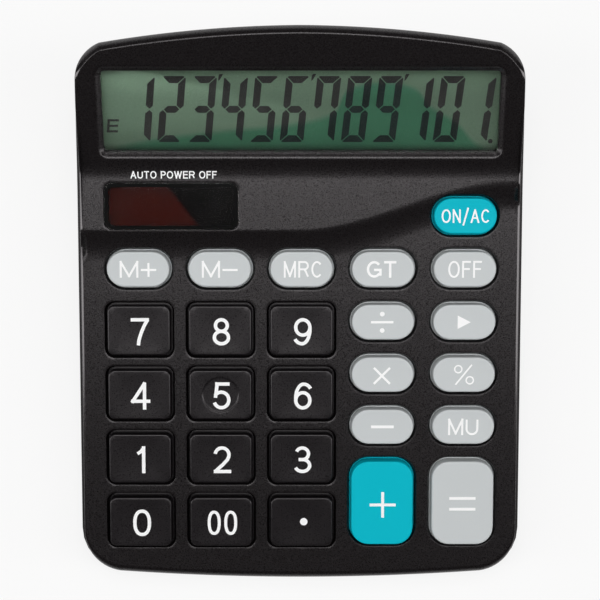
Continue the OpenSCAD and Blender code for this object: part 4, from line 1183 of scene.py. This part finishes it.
# Where the painted reflection ends and the deeper tint below it starts, as shares across the view
# and up it.
PAINTED_REFLECTION_EDGE = [(0, 0.02), (0.1, 0.18), (0.31, 0.32), (0.5, 0.42), (0.585, 0.55), (0.62, 0.84),
             (0.7, 0.93), (0.77, 0.88), (0.82, 0.64), (0.89, 0.42), (0.94, 0.16), (1, 0.02)]


def painted_reflection_and_shade(material, where):
    """The share of the deeper tint below a painted reflection, and painted shade and light: darker
    along the view's lower edge, where the recess's wall shades it, and lighter towards its top.
    The painted reflection ends along a curve, given by points across the view and up it."""
    place = add_node(material, "ShaderNodeMapping",
                     {"vector_type": "TEXTURE",
                      "Location": from_hood(VIEW_LEFT, VIEW_FOOT, -CRYSTAL_DEPTH) * MM,
                      "Rotation": (HOOD_TILT, 0, 0), "Scale": (VIEW_W * MM, VIEW_L * MM, 1)},
                     Vector=where)
    parts = add_node(material, "ShaderNodeSeparateXYZ", None, Vector=place.outputs[0])
    edge = add_node(material, "ShaderNodeFloatCurve", None, Value=parts.outputs["X"])
    curve = edge.mapping.curves[0]
    curve.points[0].location, curve.points[1].location = PAINTED_REFLECTION_EDGE[0], PAINTED_REFLECTION_EDGE[-1]
    for point in PAINTED_REFLECTION_EDGE[1:-1]:
        curve.points.new(*point)
    edge.mapping.update()
    above = add_node(material, "ShaderNodeMath", {"operation": "SUBTRACT"},
                     i0=parts.outputs["Y"], i1=edge.outputs[0])
    # The painted reflection: 0 above the curve, where the cell is paler, and 1 below it.
    share = add_node(material, "ShaderNodeMapRange",
                     {"interpolation_type": "SMOOTHSTEP", "From Min": -0.14, "From Max": -0.03,
                      "To Min": 1.0, "To Max": 0.0}, Value=above.outputs[0])
    # Painted shadow: the colour falls to about an eighth along the view's lower edge.
    low = add_node(material, "ShaderNodeMapRange",
                   {"interpolation_type": "SMOOTHSTEP", "From Min": -0.03, "From Max": 0.1,
                    "To Min": 0.12, "To Max": 1.0}, Value=parts.outputs["Y"])
    # Painted light: the colour rises by half towards the view's top, against the hood's shadow
    # there.
    shade = add_node(material, "ShaderNodeMapRange",
                     {"interpolation_type": "SMOOTHSTEP", "From Min": 0.6, "From Max": 1.0,
                      "To Min": 1.0, "To Max": 1.5}, Value=parts.outputs["Y"])
    both = add_node(material, "ShaderNodeMath", {"operation": "MULTIPLY"},
                    i0=low.outputs[0], i1=shade.outputs[0])
    return share.outputs[0], both.outputs[0]


def crystal_background(name, bright, deep):
    """The cell's reflective rear pane: finely grained, paler where a reflection is painted into
    it, with painted shade along its lower edge and painted light towards its top.
    """
    material = empty_material(name)
    where = add_node(material, "ShaderNodeTexCoord").outputs["Object"]
    share, shade = painted_reflection_and_shade(material, where)
    speck = add_node(material, "ShaderNodeTexNoise", {"Scale": 1 / (0.35 * MM), "Detail": 2.0},
                     Vector=where)
    # The paler tint is the cell under the painted reflection, the deeper one the cell below it.
    tint = add_node(material, "ShaderNodeMix",
                    {"data_type": "RGBA", 6: linear(bright), 7: linear(deep)}, i0=share)
    grey = add_node(material, "ShaderNodeMapRange", {**ALL_NOISE, "To Min": 0.9, "To Max": 1.1},
                    Value=speck.outputs["Fac"])
    # The grain times the painted shade and painted light of the view's edges.
    shaded = add_node(material, "ShaderNodeMath", {"operation": "MULTIPLY"},
                      i0=grey.outputs[0], i1=shade)
    grained = add_node(material, "ShaderNodeVectorMath", {"operation": "MULTIPLY"},
                       i0=tint.outputs[2], i1=shaded.outputs[0])
    surface = add_node(material, "ShaderNodeBsdfPrincipled", {"Roughness": 0.55, "IOR": 1.5},
                       Base_Color=grained.outputs[0])
    add_node(material, "ShaderNodeOutputMaterial", None, Surface=surface.outputs[0])
    return material


lens_acrylic = clear_plastic("acrylic_cast_clear", "#f2f6f3", 0.03)
film_front = thin_layer("polarising_film_grey", "#2a332c", 0.06)
glass_front = thin_layer("display_glass_front", "#8fa293", 0.015)
# The pale colour carries the painted reflection, and the deep one is the cell below it.
glass_rear = crystal_background("display_cell_reflective", "#a9c6ac", "#66b08c")
print("display layers ready")

# %% [markdown]
# The figures are sheets of crystal between the panes. Each digit has seven segments with mitred
# ends, separated by hairline gaps, and leans to the right. Twelve digits are lit here, with the
# apostrophes that part the thousands, the point and the error sign.

# %% The lit segments
# Sizes of a digit, the place of the first one's right corner and of their feet, and the gap
# between two segments.
DIGIT_HEIGHT, DIGIT_WIDTH, SEGMENT_W, DIGIT_PITCH = 17.75, 6.25, 1.86, 8.09
FIRST_RIGHT, DIGITS_FOOT, GAP = -37.95, 8.78, 0.17
SLANT = tan(radians(6))
CRYSTAL_T = 0.02
SEGMENTS_OF = {"0": "abcdef", "1": "bc", "2": "abged", "3": "abgcd", "4": "fgbc", "5": "afgcd",
               "6": "afgedc", "7": "fabc", "8": "abcdefg", "9": "abcdfg"}


def segment_shapes():
    """The seven segments of a digit, from its lower left corner, before it leans."""
    w, h, s, g, m = DIGIT_WIDTH, DIGIT_HEIGHT, SEGMENT_W, GAP, DIGIT_HEIGHT / 2
    half, nick = s / 2, 0.42
    top = [(g + nick, h), (w - g - nick, h), (w - g - nick * 0.6, h - nick * 0.6 - 0.05),
           (w - s - g, h - s), (s + g, h - s), (g + nick * 0.6, h - nick * 0.6 - 0.05)]
    upper_right = [(w, h - g - nick), (w, m + g + s * 0.42), (w - half * 0.9, m + g),
                   (w - s, m + half + g), (w - s, h - s - g),
                   (w - nick * 0.6, h - g - nick * 0.6)]
    middle = [(half + g, m), (s + g, m + half), (w - s - g, m + half), (w - half - g, m),
              (w - s - g, m - half), (s + g, m - half)]

    def turned(shape):
        return [(w - a, h - b) for a, b in shape]

    def mirrored(shape):
        return [(w - a, b) for a, b in shape]

    return {"a": top, "b": upper_right, "c": mirrored(turned(upper_right)), "d": turned(top),
            "e": turned(upper_right), "f": mirrored(upper_right), "g": middle}


def leaned(shape, right):
    """A shape of one digit placed so that the digit's upper right corner is at a place."""
    shift = right - DIGIT_WIDTH - (DIGIT_HEIGHT - SEGMENT_W) * SLANT
    return [(shift + a + b * SLANT, DIGITS_FOOT + b) for a, b in shape]


APOSTROPHE_AFTER = (2, 5, 8)
APOSTROPHE = ((0.4, -1.25), (0.85, -1.0), (1.75, 0.55), (0.85, 0.55), (0.6, 0.1))
POINT_PLACE, POINT_R = (50.35, 9.0), 0.62
ERROR_PLACE = (-51.0, 11.4)
ERROR_BARS = ((0.32, 1.8, 0.64, 3.6), (1.5, 0.3, 2.8, 0.6), (1.5, 1.8, 2.7, 0.6),
              (1.55, 3.3, 2.9, 0.6))
shapes = segment_shapes()
figures = []
for place, digit in enumerate("123456789101"):
    right = FIRST_RIGHT + place * DIGIT_PITCH
    figures += [leaned(shapes[letter], right) for letter in SEGMENTS_OF[digit]]
    if place in APOSTROPHE_AFTER:
        figures.append([(right + a, DIGITS_FOOT + DIGIT_HEIGHT + b) for a, b in APOSTROPHE])
figures += disc(*POINT_PLACE, POINT_R, 16)
figures += [[(a + ERROR_PLACE[0] + b * SLANT, b + ERROR_PLACE[1]) for a, b in box]
            for box in bars(*ERROR_BARS)]


def lit_crystal(name):
    """Crystal that turns dark where it is driven. It is paler where the painted reflection lies
    over the view, and darker below that painted reflection.
    """
    material = empty_material(name)
    where = add_node(material, "ShaderNodeTexCoord").outputs["Object"]
    share, _ = painted_reflection_and_shade(material, where)
    cloud = add_node(material, "ShaderNodeTexNoise", {"Scale": 1 / (6 * MM), "Detail": 2.0},
                     Vector=where)
    grey = add_node(material, "ShaderNodeMix",
                    {"data_type": "RGBA", 6: linear("#3a3839"), 7: linear("#484144")},
                    i0=cloud.outputs["Fac"])
    # Below the painted reflection the segments are painted a deeper, darker tone.
    tone = add_node(material, "ShaderNodeMix", {"data_type": "RGBA", 7: linear("#12292a")},
                    i0=share, i6=grey.outputs[2])
    surface = add_node(material, "ShaderNodeBsdfPrincipled", {"Roughness": 0.6, "IOR": 1.45},
                       Base_Color=tone.outputs[2])
    add_node(material, "ShaderNodeOutputMaterial", None, Surface=surface.outputs[0])
    return material


crystal_dark = lit_crystal("liquid_crystal_dark")
print_figure("display_figures", figures,
             lambda a, b, lift: from_hood(a, b, lift - CRYSTAL_DEPTH),
             crystal_dark, "case", CRYSTAL_T)
print("segments and signs:", len(figures))

# %% [markdown]
# The solar window is a flat clear cover that lies in its seat over the cell, with a border
# printed in black on its face. The cell is amorphous silicon on glass, a deep red-brown with thin
# lines where its strips are joined in series. Beyond a slanting line towards one end a dark
# reflection is painted over it, which turns it nearly black.

# %% Solar window and cell
WINDOW_TOP = RISE - WINDOW_SINK
BORDER_W = 1.15                # from the opening's edge to the border's inner edge
STRIP_MM, JOIN_MM, DUST_MM = 8.6, 0.09, 0.7
# Where the painted dark reflection starts on the cell: the turn of its slanting line, the width
# over which it softens, and how far right of the window's middle it lies.
DARK_REFLECTION_TURN, DARK_REFLECTION_SOFT_MM, DARK_REFLECTION_OFF = radians(38), 0.8, 2.9   # the line where the cell turns dark


def window_loops(levels):
    """The window's outline at each level, given by its growth and its height."""
    return [[from_face(window_u + a, window_v + b, w) for a, b in window_ring(growth)]
            for growth, w in levels]


def window_cover():
    """A plate with a rounded upper edge."""
    cover = Moulding()
    rings = cover.loft(window_loops(
        [(-SEAT_GAP, WINDOW_TOP - WINDOW_T), (-SEAT_GAP, WINDOW_TOP - 0.14),
         (-SEAT_GAP - 0.04, WINDOW_TOP - 0.04), (-SEAT_GAP - 0.14, WINDOW_TOP)]))
    cover.cap(rings[0])
    cover.cap(rings[-1])
    return cover


def window_border():
    """The black border printed on the window's face, which frames the cell."""
    border = Moulding()
    rings = border.loft(window_loops(
        [(-SEAT_GAP - 0.16, WINDOW_TOP + 0.005), (-SEAT_GAP - 0.18, WINDOW_TOP + 0.02),
         (-BORDER_W, WINDOW_TOP + 0.02), (-BORDER_W - 0.02, WINDOW_TOP + 0.005)]))
    border.bridge(rings[-1], rings[0])
    return border


def silicon_cell(name, middle):
    """Dark glassy silicon in strips, with a dark reflection painted over it beyond a slanting line.
    """
    material = empty_material(name)
    where = add_node(material, "ShaderNodeTexCoord").outputs["Object"]
    place = add_node(material, "ShaderNodeMapping",
                     {"vector_type": "TEXTURE", "Location": middle * MM,
                      "Rotation": (0, 0, DARK_REFLECTION_TURN)}, Vector=where)
    along = add_node(material, "ShaderNodeSeparateXYZ", None, Vector=place.outputs[0])
    # Painted reflection: 0 before the slanting line, 1 beyond it.
    fade = add_node(material, "ShaderNodeMapRange",
                    {"interpolation_type": "SMOOTHSTEP", "From Min": -DARK_REFLECTION_SOFT_MM * MM,
                     "From Max": DARK_REFLECTION_SOFT_MM * MM}, Value=along.outputs["X"])
    across = add_node(material, "ShaderNodeSeparateXYZ", None, Vector=where)
    strip = add_node(material, "ShaderNodeMath",
                     {"operation": "WRAP", 1: 0.0, 2: STRIP_MM * MM}, i0=across.outputs["X"])
    line = add_node(material, "ShaderNodeMath",
                    {"operation": "COMPARE", 1: STRIP_MM / 2 * MM, 2: JOIN_MM * MM},
                    i0=strip.outputs[0])
    speck = add_node(material, "ShaderNodeTexNoise",
                     {"Scale": 1 / (DUST_MM * MM), "Detail": 5.0, "Roughness": 0.75},
                     Vector=where)
    dust = add_node(material, "ShaderNodeMapRange",
                    {"From Min": 0.52, "From Max": 0.72, "To Min": 0.0, "To Max": 0.5},
                    Value=speck.outputs["Fac"])
    strip_tone = add_node(material, "ShaderNodeMix",
                          {"data_type": "RGBA", 6: linear("#4a130a"), 7: linear("#5c2a20")},
                          i0=line.outputs[0])
    dusted = add_node(material, "ShaderNodeMix", {"data_type": "RGBA", 7: linear("#3f2a27")},
                      i0=dust.outputs[0], i6=strip_tone.outputs[2])
    # The painted dark reflection, nearly black, over the silicon's own colour.
    tone = add_node(material, "ShaderNodeMix", {"data_type": "RGBA", 7: linear("#030203")},
                    i0=fade.outputs[0], i6=dusted.outputs[2])
    surface = add_node(material, "ShaderNodeBsdfPrincipled",
                       {"Roughness": 0.04, "IOR": 1.5, "Specular IOR Level": 0.02},
                       Base_Color=tone.outputs[2])
    add_node(material, "ShaderNodeOutputMaterial", None, Surface=surface.outputs[0])
    return material


window_acrylic = clear_plastic("acrylic_moulded_clear", "#f3eeec", 0.04)
cover = window_cover().make("solar_cover", [window_acrylic], 50)
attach(cover, "case")
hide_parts("solar_window")
cell_silicon = silicon_cell("amorphous_silicon_on_glass",
                            from_face(window_u + DARK_REFLECTION_OFF, window_v, 0))
# Screen ink lies flat and dull on the acrylic, and is the darkest black on the case.
border_ink = moulded_plastic("screen_ink_black", "#040404", 0.5, 0.3, 0.002, specular=0.06)
border = window_border().make("solar_border", [border_ink])
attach(border, "case")

# A line of small capitals above the window says what the calculator does when it is left on.
FUNCTION_U, FUNCTION_V = window_u + 0.75, HOLLOW_V - 0.9
print_figure("legend_auto_off", text_quads("AUTO POWER OFF", 1.98, 22.8, 0.31),
             lambda a, b, lift: (on_surface(FUNCTION_U + a, FUNCTION_V + b)
                                 + Vector((0, 0, lift))),
             legend_ink, "case")
print("solar window and its line of text")

# %% [markdown]
# The rest is hardware that mostly hides inside: the circuit board and its parts, the screws,
# the wires and the battery with its contacts. These keep their shape from the construction
# model and get the finish of what they are made of.

# %% Metals, rubber, laminate and sleeves
def metal(name, colour, roughness, grain_mm, depth_mm):
    """A metal: its colour is that of its reflections, broken by fine rolling or plating marks."""
    material = empty_material(name)
    where = add_node(material, "ShaderNodeTexCoord").outputs["Object"]
    grain = add_node(material, "ShaderNodeTexNoise",
                     {"Scale": 1 / (grain_mm * MM), "Detail": 4.0, "Roughness": 0.6}, Vector=where)
    gloss = add_node(material, "ShaderNodeMapRange",
                     {**ALL_NOISE, "To Min": roughness * 0.8, "To Max": roughness * 1.3},
                     Value=grain.outputs["Fac"])
    bump = add_node(material, "ShaderNodeBump", {"Strength": 0.5, "Distance": depth_mm * MM},
                    Height=grain.outputs["Fac"])
    surface = add_node(material, "ShaderNodeBsdfPrincipled",
                       {"Base Color": linear(colour), "Metallic": 1.0},
                       Roughness=gloss.outputs[0], Normal=bump.outputs[0])
    add_node(material, "ShaderNodeOutputMaterial", None, Surface=surface.outputs[0])
    return material


def laminate(name, pale, dark):
    """Phenolic paper board: brown-yellow, with the fibres of its paper just visible."""
    material = empty_material(name)
    where = add_node(material, "ShaderNodeTexCoord").outputs["Object"]
    stretched = add_node(material, "ShaderNodeMapping", {"Scale": (1.0, 0.25, 1.0)}, Vector=where)
    fibres = add_node(material, "ShaderNodeTexNoise", {"Scale": 1 / (0.8 * MM), "Detail": 4.0},
                      Vector=stretched.outputs[0])
    tone = add_node(material, "ShaderNodeMix",
                    {"data_type": "RGBA", 6: linear(dark), 7: linear(pale)},
                    i0=fibres.outputs["Fac"])
    surface = add_node(material, "ShaderNodeBsdfPrincipled", {"Roughness": 0.45, "IOR": 1.55},
                       Base_Color=tone.outputs[2])
    add_node(material, "ShaderNodeOutputMaterial", None, Surface=surface.outputs[0])
    return material


BAND_HALF_MM = 0.2


def banded_resistor(name, body, band, pitch_mm):
    """Lacquered resistors with colour bands at a fixed spacing along them."""
    material = empty_material(name)
    where = add_node(material, "ShaderNodeTexCoord").outputs["Object"]
    place = add_node(material, "ShaderNodeSeparateXYZ", None, Vector=where)
    wrapped = add_node(material, "ShaderNodeMath", {"operation": "WRAP", 1: 0.0, 2: pitch_mm * MM},
                       i0=place.outputs["Y"])
    ring = add_node(material, "ShaderNodeMath",
                    {"operation": "COMPARE", 1: pitch_mm / 2 * MM, 2: BAND_HALF_MM * MM},
                    i0=wrapped.outputs[0])
    tone = add_node(material, "ShaderNodeMix",
                    {"data_type": "RGBA", 6: linear(body), 7: linear(band)},
                    i0=ring.outputs[0])
    surface = add_node(material, "ShaderNodeBsdfPrincipled", {"Roughness": 0.25, "IOR": 1.5},
                       Base_Color=tone.outputs[2])
    add_node(material, "ShaderNodeOutputMaterial", None, Surface=surface.outputs[0])
    return material


def battery_sleeve(name, low_x, high_x):
    """A printed sleeve: dark green, with a copper-coloured band at its positive end. Both ends
    of the steel can are bare. Each colour starts at a share of the length."""
    material = empty_material(name)
    where = add_node(material, "ShaderNodeTexCoord").outputs["Object"]
    place = add_node(material, "ShaderNodeSeparateXYZ", None, Vector=where)
    share = add_node(material, "ShaderNodeMapRange",
                     {"From Min": low_x * MM, "From Max": high_x * MM},
                     Value=place.outputs["X"])
    ramp = add_node(material, "ShaderNodeValToRGB", None, Fac=share.outputs[0])
    ramp.color_ramp.interpolation = "CONSTANT"
    stops = [(0.0, "#c9cbcc"), (0.02, "#26543a"), (0.76, "#b07a3a"), (0.965, "#d0d2d3")]
    while len(ramp.color_ramp.elements) < len(stops):
        ramp.color_ramp.elements.new(0.5)
    for element, (position, code) in zip(ramp.color_ramp.elements, stops):
        element.position = position
        element.color = linear(code)
    surface = add_node(material, "ShaderNodeBsdfPrincipled", {"Roughness": 0.28, "IOR": 1.5},
                       Base_Color=ramp.outputs["Color"])
    add_node(material, "ShaderNodeOutputMaterial", None, Surface=surface.outputs[0])
    return material


battery_low, battery_high = box_mm("battery")
steel_zinc = metal("steel_zinc_plated", "#c4c6c8", 0.3, 0.6, 0.004)
silicone = moulded_plastic("silicone_grey", "#5d5f60", 0.6, 0.5, 0.004)
finishes = {
    "display_lens": lens_acrylic,
    "lcd_front_polarizer": film_front,
    "lcd_front_glass": glass_front,
    "lcd_rear_glass": glass_rear,
    "lcd_reflector": moulded_plastic("reflector_foil_matt", "#a9b09c", 0.4, 0.3, 0.003),
    "lcd_frame": moulded_plastic("abs_white_natural", "#deded8", 0.5, 0.5, 0.006, mottle=0.01),
    "lcd_screws": steel_zinc,
    "board_screws": steel_zinc,
    "case_screws": steel_zinc,
    "display_ribbon": moulded_plastic("polyester_film_amber", "#a9763a", 0.25, 0.9, 0.002,
                                      mottle=0.05),
    "solar_cell": cell_silicon,
    "solar_wires": moulded_plastic("pvc_sleeve_red", "#a82018", 0.32, 0.4, 0.003),
    "battery_wires": moulded_plastic("pvc_sleeve_dark", "#2a2a2e", 0.32, 0.4, 0.003),
    "keypad_membrane": silicone,
    "circuit_board": laminate("phenolic_paper_laminate", "#c0924a", "#a87a35"),
    "chip_cap": moulded_plastic("epoxy_resin_black", "#141414", 0.2, 1.5, 0.02),
    "capacitor": moulded_plastic("shrink_sleeve_blue_black", "#23262d", 0.25, 0.7, 0.004),
    "resistors": banded_resistor("resistor_lacquer_banded", "#c9a36b", "#5a2c1c", 1.1),
    "battery": battery_sleeve("battery_printed_sleeve", battery_low.x, battery_high.x),
    "battery_spring": metal("spring_steel_nickel_plated", "#c9c7c2", 0.22, 0.4, 0.003),
    "battery_plate": metal("contact_nickel_plated", "#cbc9c4", 0.25, 0.5, 0.003),
}
for node, material in finishes.items():
    slots = frame["nodes"][node].material_slots
    for slot in slots:
        slot.material = material
    if not slots:
        frame["nodes"][node].data.materials.append(material)
print("finishes set on", len(finishes), "pieces")

# %% [markdown]
# The silicone sheet lies flat on the board. Each dome on it is a piece of its own, and carries a
# carbon pill under its roof. A real dome folds its wall outwards under its key; these are drawn
# at rest.

# %% Silicone sheet and domes
DOME_TOP, DOME_ROOF, SHEET_TOP = 4.1, 0.8, 5.88      # below the key face, and the roof's wall
DOME_FOOT_R, DOME_TOP_R, DOME_HOLLOW_R = 4.2, 2.6, 2.2
PILL_R, PILL_T, PILL_GAP = 1.6, 0.5, 0.01
ROUND_STEPS = 24
WELD = 0.002 * MM              # corners of the construction mesh closer than this are one
face_up = from_face(0, 0, 1) - from_face(0, 0, 0)


def flat_sheet(name):
    """The sheet of the construction mesh, cut off just above its top."""
    cut = bmesh.new()
    cut.from_mesh(frame["nodes"]["keypad_membrane"].data)
    bmesh.ops.remove_doubles(cut, verts=cut.verts, dist=WELD)
    bmesh.ops.bisect_plane(cut, geom=cut.verts[:] + cut.edges[:] + cut.faces[:],
                           plane_co=from_face(0, 0, -SHEET_TOP) * MM, plane_no=face_up,
                           clear_outer=True)
    rims = [edge for edge in cut.edges if edge.is_boundary]
    bmesh.ops.triangle_fill(cut, edges=rims, use_beauty=True, normal=face_up)
    bmesh.ops.recalc_face_normals(cut, faces=cut.faces)
    print("sheet's open edges:", sum(not edge.is_manifold for edge in cut.edges))
    mesh = bpy.data.meshes.new(name)
    cut.to_mesh(mesh)
    cut.free()
    mesh.materials.clear()
    mesh.materials.append(silicone)
    piece = bpy.data.objects.new(name, mesh)
    scene.collection.objects.link(piece)
    return piece


def dome(name, u, v):
    """A hollow cone with its pill. The rubber's faces come first and the pill's after them."""
    def ring(r, depth):
        return [from_face(u + r * cos(turn), v + r * sin(turn), -depth)
                for turn in (i * pi / (ROUND_STEPS / 2) for i in range(ROUND_STEPS))]

    roof = DOME_TOP + DOME_ROOF
    rubber = ((DOME_HOLLOW_R, roof), (DOME_HOLLOW_R, SHEET_TOP), (DOME_FOOT_R, SHEET_TOP),
              (DOME_TOP_R, DOME_TOP))
    pill = ((PILL_R, roof + PILL_T), (PILL_R, roof + PILL_GAP))
    shape = Moulding()
    for levels in (rubber, pill):
        rings = shape.loft([ring(*level) for level in levels])
        shape.cap(rings[0])
        shape.cap(rings[-1])
        if levels is rubber:
            rubber_faces = len(shape.faces)
    piece = shape.make(name, [silicone, carbon])
    for polygon in piece.data.polygons[rubber_faces:]:
        polygon.material_index = 1
    return piece


carbon = moulded_plastic("carbon_pill_black", "#1a1a1b", 0.5, 0.3, 0.003)
rubber_sheet = flat_sheet("rubber_sheet")
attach(rubber_sheet, "case")
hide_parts("keypad_membrane")
for name, (u, v, *_) in keys.items():
    piece = dome(name.replace("key_", "dome_"), u, v)
    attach(piece, "case")
    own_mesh(piece)
print("domes:", len(keys))

# %% [markdown]
# The lower shell is a tray with a rim that shows all round the keys as a dark strip. A real
# moulding has no knife-sharp edges, so its construction mesh is copied, joined up and cleaned
# of needless edges, and a bevel rounds what is left. The battery door is treated the same way.
# The rim slopes outwards, so light from above isn't thrown back up and the rim stays dark.

# %% Lower shell and battery door
RIM_FALL = 1.35                # how far the rim's outer edge lies below its inner one
RIM_CUTS = 5                   # cuts across the rim where its slope fades out beside the hood
ON_PARTING, ON_OUTLINE = 0.03, 0.1       # how near a corner lies that belongs to the edge


def fallen_rim(mesh):
    """Lowers the rim's outer edge, less and less where the ledge runs out."""
    flat_outline = [(x, y) for x, y, _, _ in outline]
    for cut in range(RIM_CUTS):
        y = HOOD_Y - LEDGE_START + LEDGE_FADE / (RIM_CUTS - 1) * cut
        bmesh.ops.bisect_plane(mesh, geom=mesh.verts[:] + mesh.edges[:] + mesh.faces[:],
                               plane_co=(0, y * MM, 0), plane_no=(0, 1, 0))
    for vertex in mesh.verts:
        place = vertex.co / MM
        if (abs(to_face(place).z + PARTING) < ON_PARTING
                and loop_distance(place[:2], flat_outline) < ON_OUTLINE):
            vertex.co.z -= RIM_FALL * ledge_share(place.y) * MM


def softened(node, name, radius, material, change=None):
    """A copy of a construction piece with its edges rounded by a radius in millimetres."""
    source = frame["nodes"][node]
    mesh = bpy.data.meshes.new(name)
    tidy = bmesh.new()
    tidy.from_mesh(source.data)
    bmesh.ops.remove_doubles(tidy, verts=tidy.verts, dist=WELD)
    if change:
        change(tidy)
    bmesh.ops.dissolve_limit(tidy, angle_limit=radians(0.8), verts=tidy.verts,
                             edges=tidy.edges)
    tidy.to_mesh(mesh)
    tidy.free()
    mesh.materials.clear()
    mesh.materials.append(material)
    piece = bpy.data.objects.new(name, mesh)
    scene.collection.objects.link(piece)
    rounding = piece.modifiers.new("rounded_edges", "BEVEL")
    rounding.width = radius * MM
    rounding.segments = 3
    rounding.limit_method = "ANGLE"
    rounding.angle_limit = radians(35)
    rounding.use_clamp_overlap = True
    rounding.harden_normals = True
    mesh.shade_smooth()
    mesh.set_sharp_from_angle(angle=radians(50))
    print(name, "rounded by", radius, "mm:", len(mesh.polygons), "faces before the bevel")
    return piece


# A coarser texture than the upper shell's, which hardly mirrors anything.
case_matt = moulded_plastic("abs_black_matt", "#110e0f", 0.4, 0.32, 0.012, specular=0.18,
                            sparkle=0.3, tint=WARM_GLOSS)
lower = softened("bottom_case", "lower_shell", 0.3, case_matt, fallen_rim)
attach(lower, "case")
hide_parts("bottom_case")
door = softened("battery_door", "door", 0.18, case_matt)
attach(door, "battery_door")
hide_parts("battery_door")

# %% [markdown]
# Four rubber feet sit in shallow sockets. They repeat, so a small node tree makes one foot from
# named sizes, with a rounded edge and a dished underside, and sets it at four places.

# %% Rubber feet
FOOT_R = 5.0


def input_socket(tree, name, kind, value):
    """A named input of the tree, with its usual value."""
    socket = tree.interface.new_socket(name, in_out="INPUT", socket_type=kind)
    if value is not None:
        socket.default_value = value
    return socket


# Share of the radius and of the height at each level, from the dished underside to the top.
FOOT_LEVELS = [(0.62, 0.05), (0.74, 0.0), (0.86, 0.0), (0.95, 0.05), (1.0, 0.18), (1.0, 1.0)]


def foot_tree(material):
    """Grows one foot from a disc, level by level, and sets it on every point of the object."""
    tree = bpy.data.node_groups.new("rubber_feet", "GeometryNodeTree")
    input_socket(tree, "Places", "NodeSocketGeometry", None)
    radius = input_socket(tree, "Radius", "NodeSocketFloat", 0.005)
    height = input_socket(tree, "Height", "NodeSocketFloat", 0.002)
    tree.interface.new_socket("Feet", in_out="OUTPUT", socket_type="NodeSocketGeometry")
    inputs = add_node(tree, "NodeGroupInput")
    join = add_node(tree, "GeometryNodeJoinGeometry")
    circle = add_node(tree, "GeometryNodeCurvePrimitiveCircle",
                      {"mode": "RADIUS", "Resolution": 48}, Radius=inputs.outputs["Radius"])
    disc_face = add_node(tree, "GeometryNodeFillCurve", {"mode": "NGONS"},
                         Curve=circle.outputs[0])
    first_r, first_z = FOOT_LEVELS[0]
    shrink = add_node(tree, "ShaderNodeCombineXYZ", {"X": first_r, "Y": first_r, "Z": 1.0})
    small = add_node(tree, "GeometryNodeTransform", None, Geometry=disc_face.outputs[0],
                     Scale=shrink.outputs[0])
    lift = add_node(tree, "ShaderNodeMath", {"operation": "MULTIPLY", 1: first_z},
                    i0=inputs.outputs["Height"])
    up = add_node(tree, "ShaderNodeCombineXYZ", None, Z=lift.outputs[0])
    base = add_node(tree, "GeometryNodeTransform", None, Geometry=small.outputs[0],
                    Translation=up.outputs[0])
    mesh, top = base.outputs[0], None
    for (r_from, _), (r_to, z_to) in zip(FOOT_LEVELS, FOOT_LEVELS[1:]):
        extrude = add_node(tree, "GeometryNodeExtrudeMesh",
                           {"mode": "FACES", "Offset Scale": 0.0, "Individual": False},
                           Mesh=mesh)
        if top is not None:
            tree.links.new(top, extrude.inputs["Selection"])
        top = extrude.outputs["Top"]
        place = add_node(tree, "GeometryNodeInputPosition")
        ratio = r_to / r_from
        rise = add_node(tree, "ShaderNodeMath", {"operation": "MULTIPLY", 1: z_to},
                        i0=inputs.outputs["Height"])
        grown = add_node(tree, "ShaderNodeVectorMath",
                         {"operation": "MULTIPLY", 1: (ratio, ratio, 0.0)}, i0=place.outputs[0])
        up = add_node(tree, "ShaderNodeCombineXYZ", None, Z=rise.outputs[0])
        moved = add_node(tree, "ShaderNodeVectorMath", {"operation": "ADD"},
                         i0=grown.outputs[0], i1=up.outputs[0])
        shift = add_node(tree, "GeometryNodeSetPosition", None, Geometry=extrude.outputs["Mesh"],
                         Selection=top, Position=moved.outputs[0])
        mesh = shift.outputs[0]
    # The extrusion leaves the underside open, so a turned copy of the first face closes it.
    close = add_node(tree, "GeometryNodeFlipFaces", None, Mesh=base.outputs[0])
    tree.links.new(mesh, join.inputs[0])
    tree.links.new(close.outputs[0], join.inputs[0])
    welded = add_node(tree, "GeometryNodeMergeByDistance", {"Distance": 1e-6},
                      Geometry=join.outputs[0])
    spread = add_node(tree, "GeometryNodeInstanceOnPoints", None,
                      Points=inputs.outputs["Places"], Instance=welded.outputs[0])
    real = add_node(tree, "GeometryNodeRealizeInstances", None, Geometry=spread.outputs[0])
    painted = add_node(tree, "GeometryNodeSetMaterial", {"Material": material},
                       Geometry=real.outputs[0])
    outputs = add_node(tree, "NodeGroupOutput")
    tree.links.new(painted.outputs[0], outputs.inputs[0])
    return tree, radius.identifier, height.identifier


def grown_on_points(name, tree, places, values):
    """Runs a node tree on a mesh of points and returns the result as a plain mesh piece."""
    seed = bpy.data.meshes.new(name)
    seed.from_pydata([tuple(place * MM) for place in places], [], [])
    holder = bpy.data.objects.new(name + "_points", seed)
    scene.collection.objects.link(holder)
    modifier = holder.modifiers.new("tree", "NODES")
    modifier.node_group = tree
    for identifier, value in values.items():
        modifier[identifier] = value
    bpy.context.view_layer.update()
    solved = holder.evaluated_get(bpy.context.evaluated_depsgraph_get())
    mesh = bpy.data.meshes.new_from_object(solved)
    bpy.data.objects.remove(holder)
    piece = bpy.data.objects.new(name, mesh)
    scene.collection.objects.link(piece)
    return piece


foot_rubber = moulded_plastic("rubber_moulded_black", "#1d1d1f", 0.75, 0.4, 0.02)
low, high = box_mm("rubber_feet")
foot_places = [Vector((x, y, 0)) for x in (low.x + FOOT_R, high.x - FOOT_R)
               for y in (low.y + FOOT_R, high.y - FOOT_R)]
tree, radius_id, height_id = foot_tree(foot_rubber)
feet = grown_on_points("feet", tree, foot_places, {radius_id: FOOT_R * MM, height_id: high.z * MM})
smooth_by_weight(feet, 40)
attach(feet, "case")
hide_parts("rubber_feet")
print(f"feet: {len(foot_places)}, {high.z:.2f} mm high, {len(feet.data.polygons)} faces")
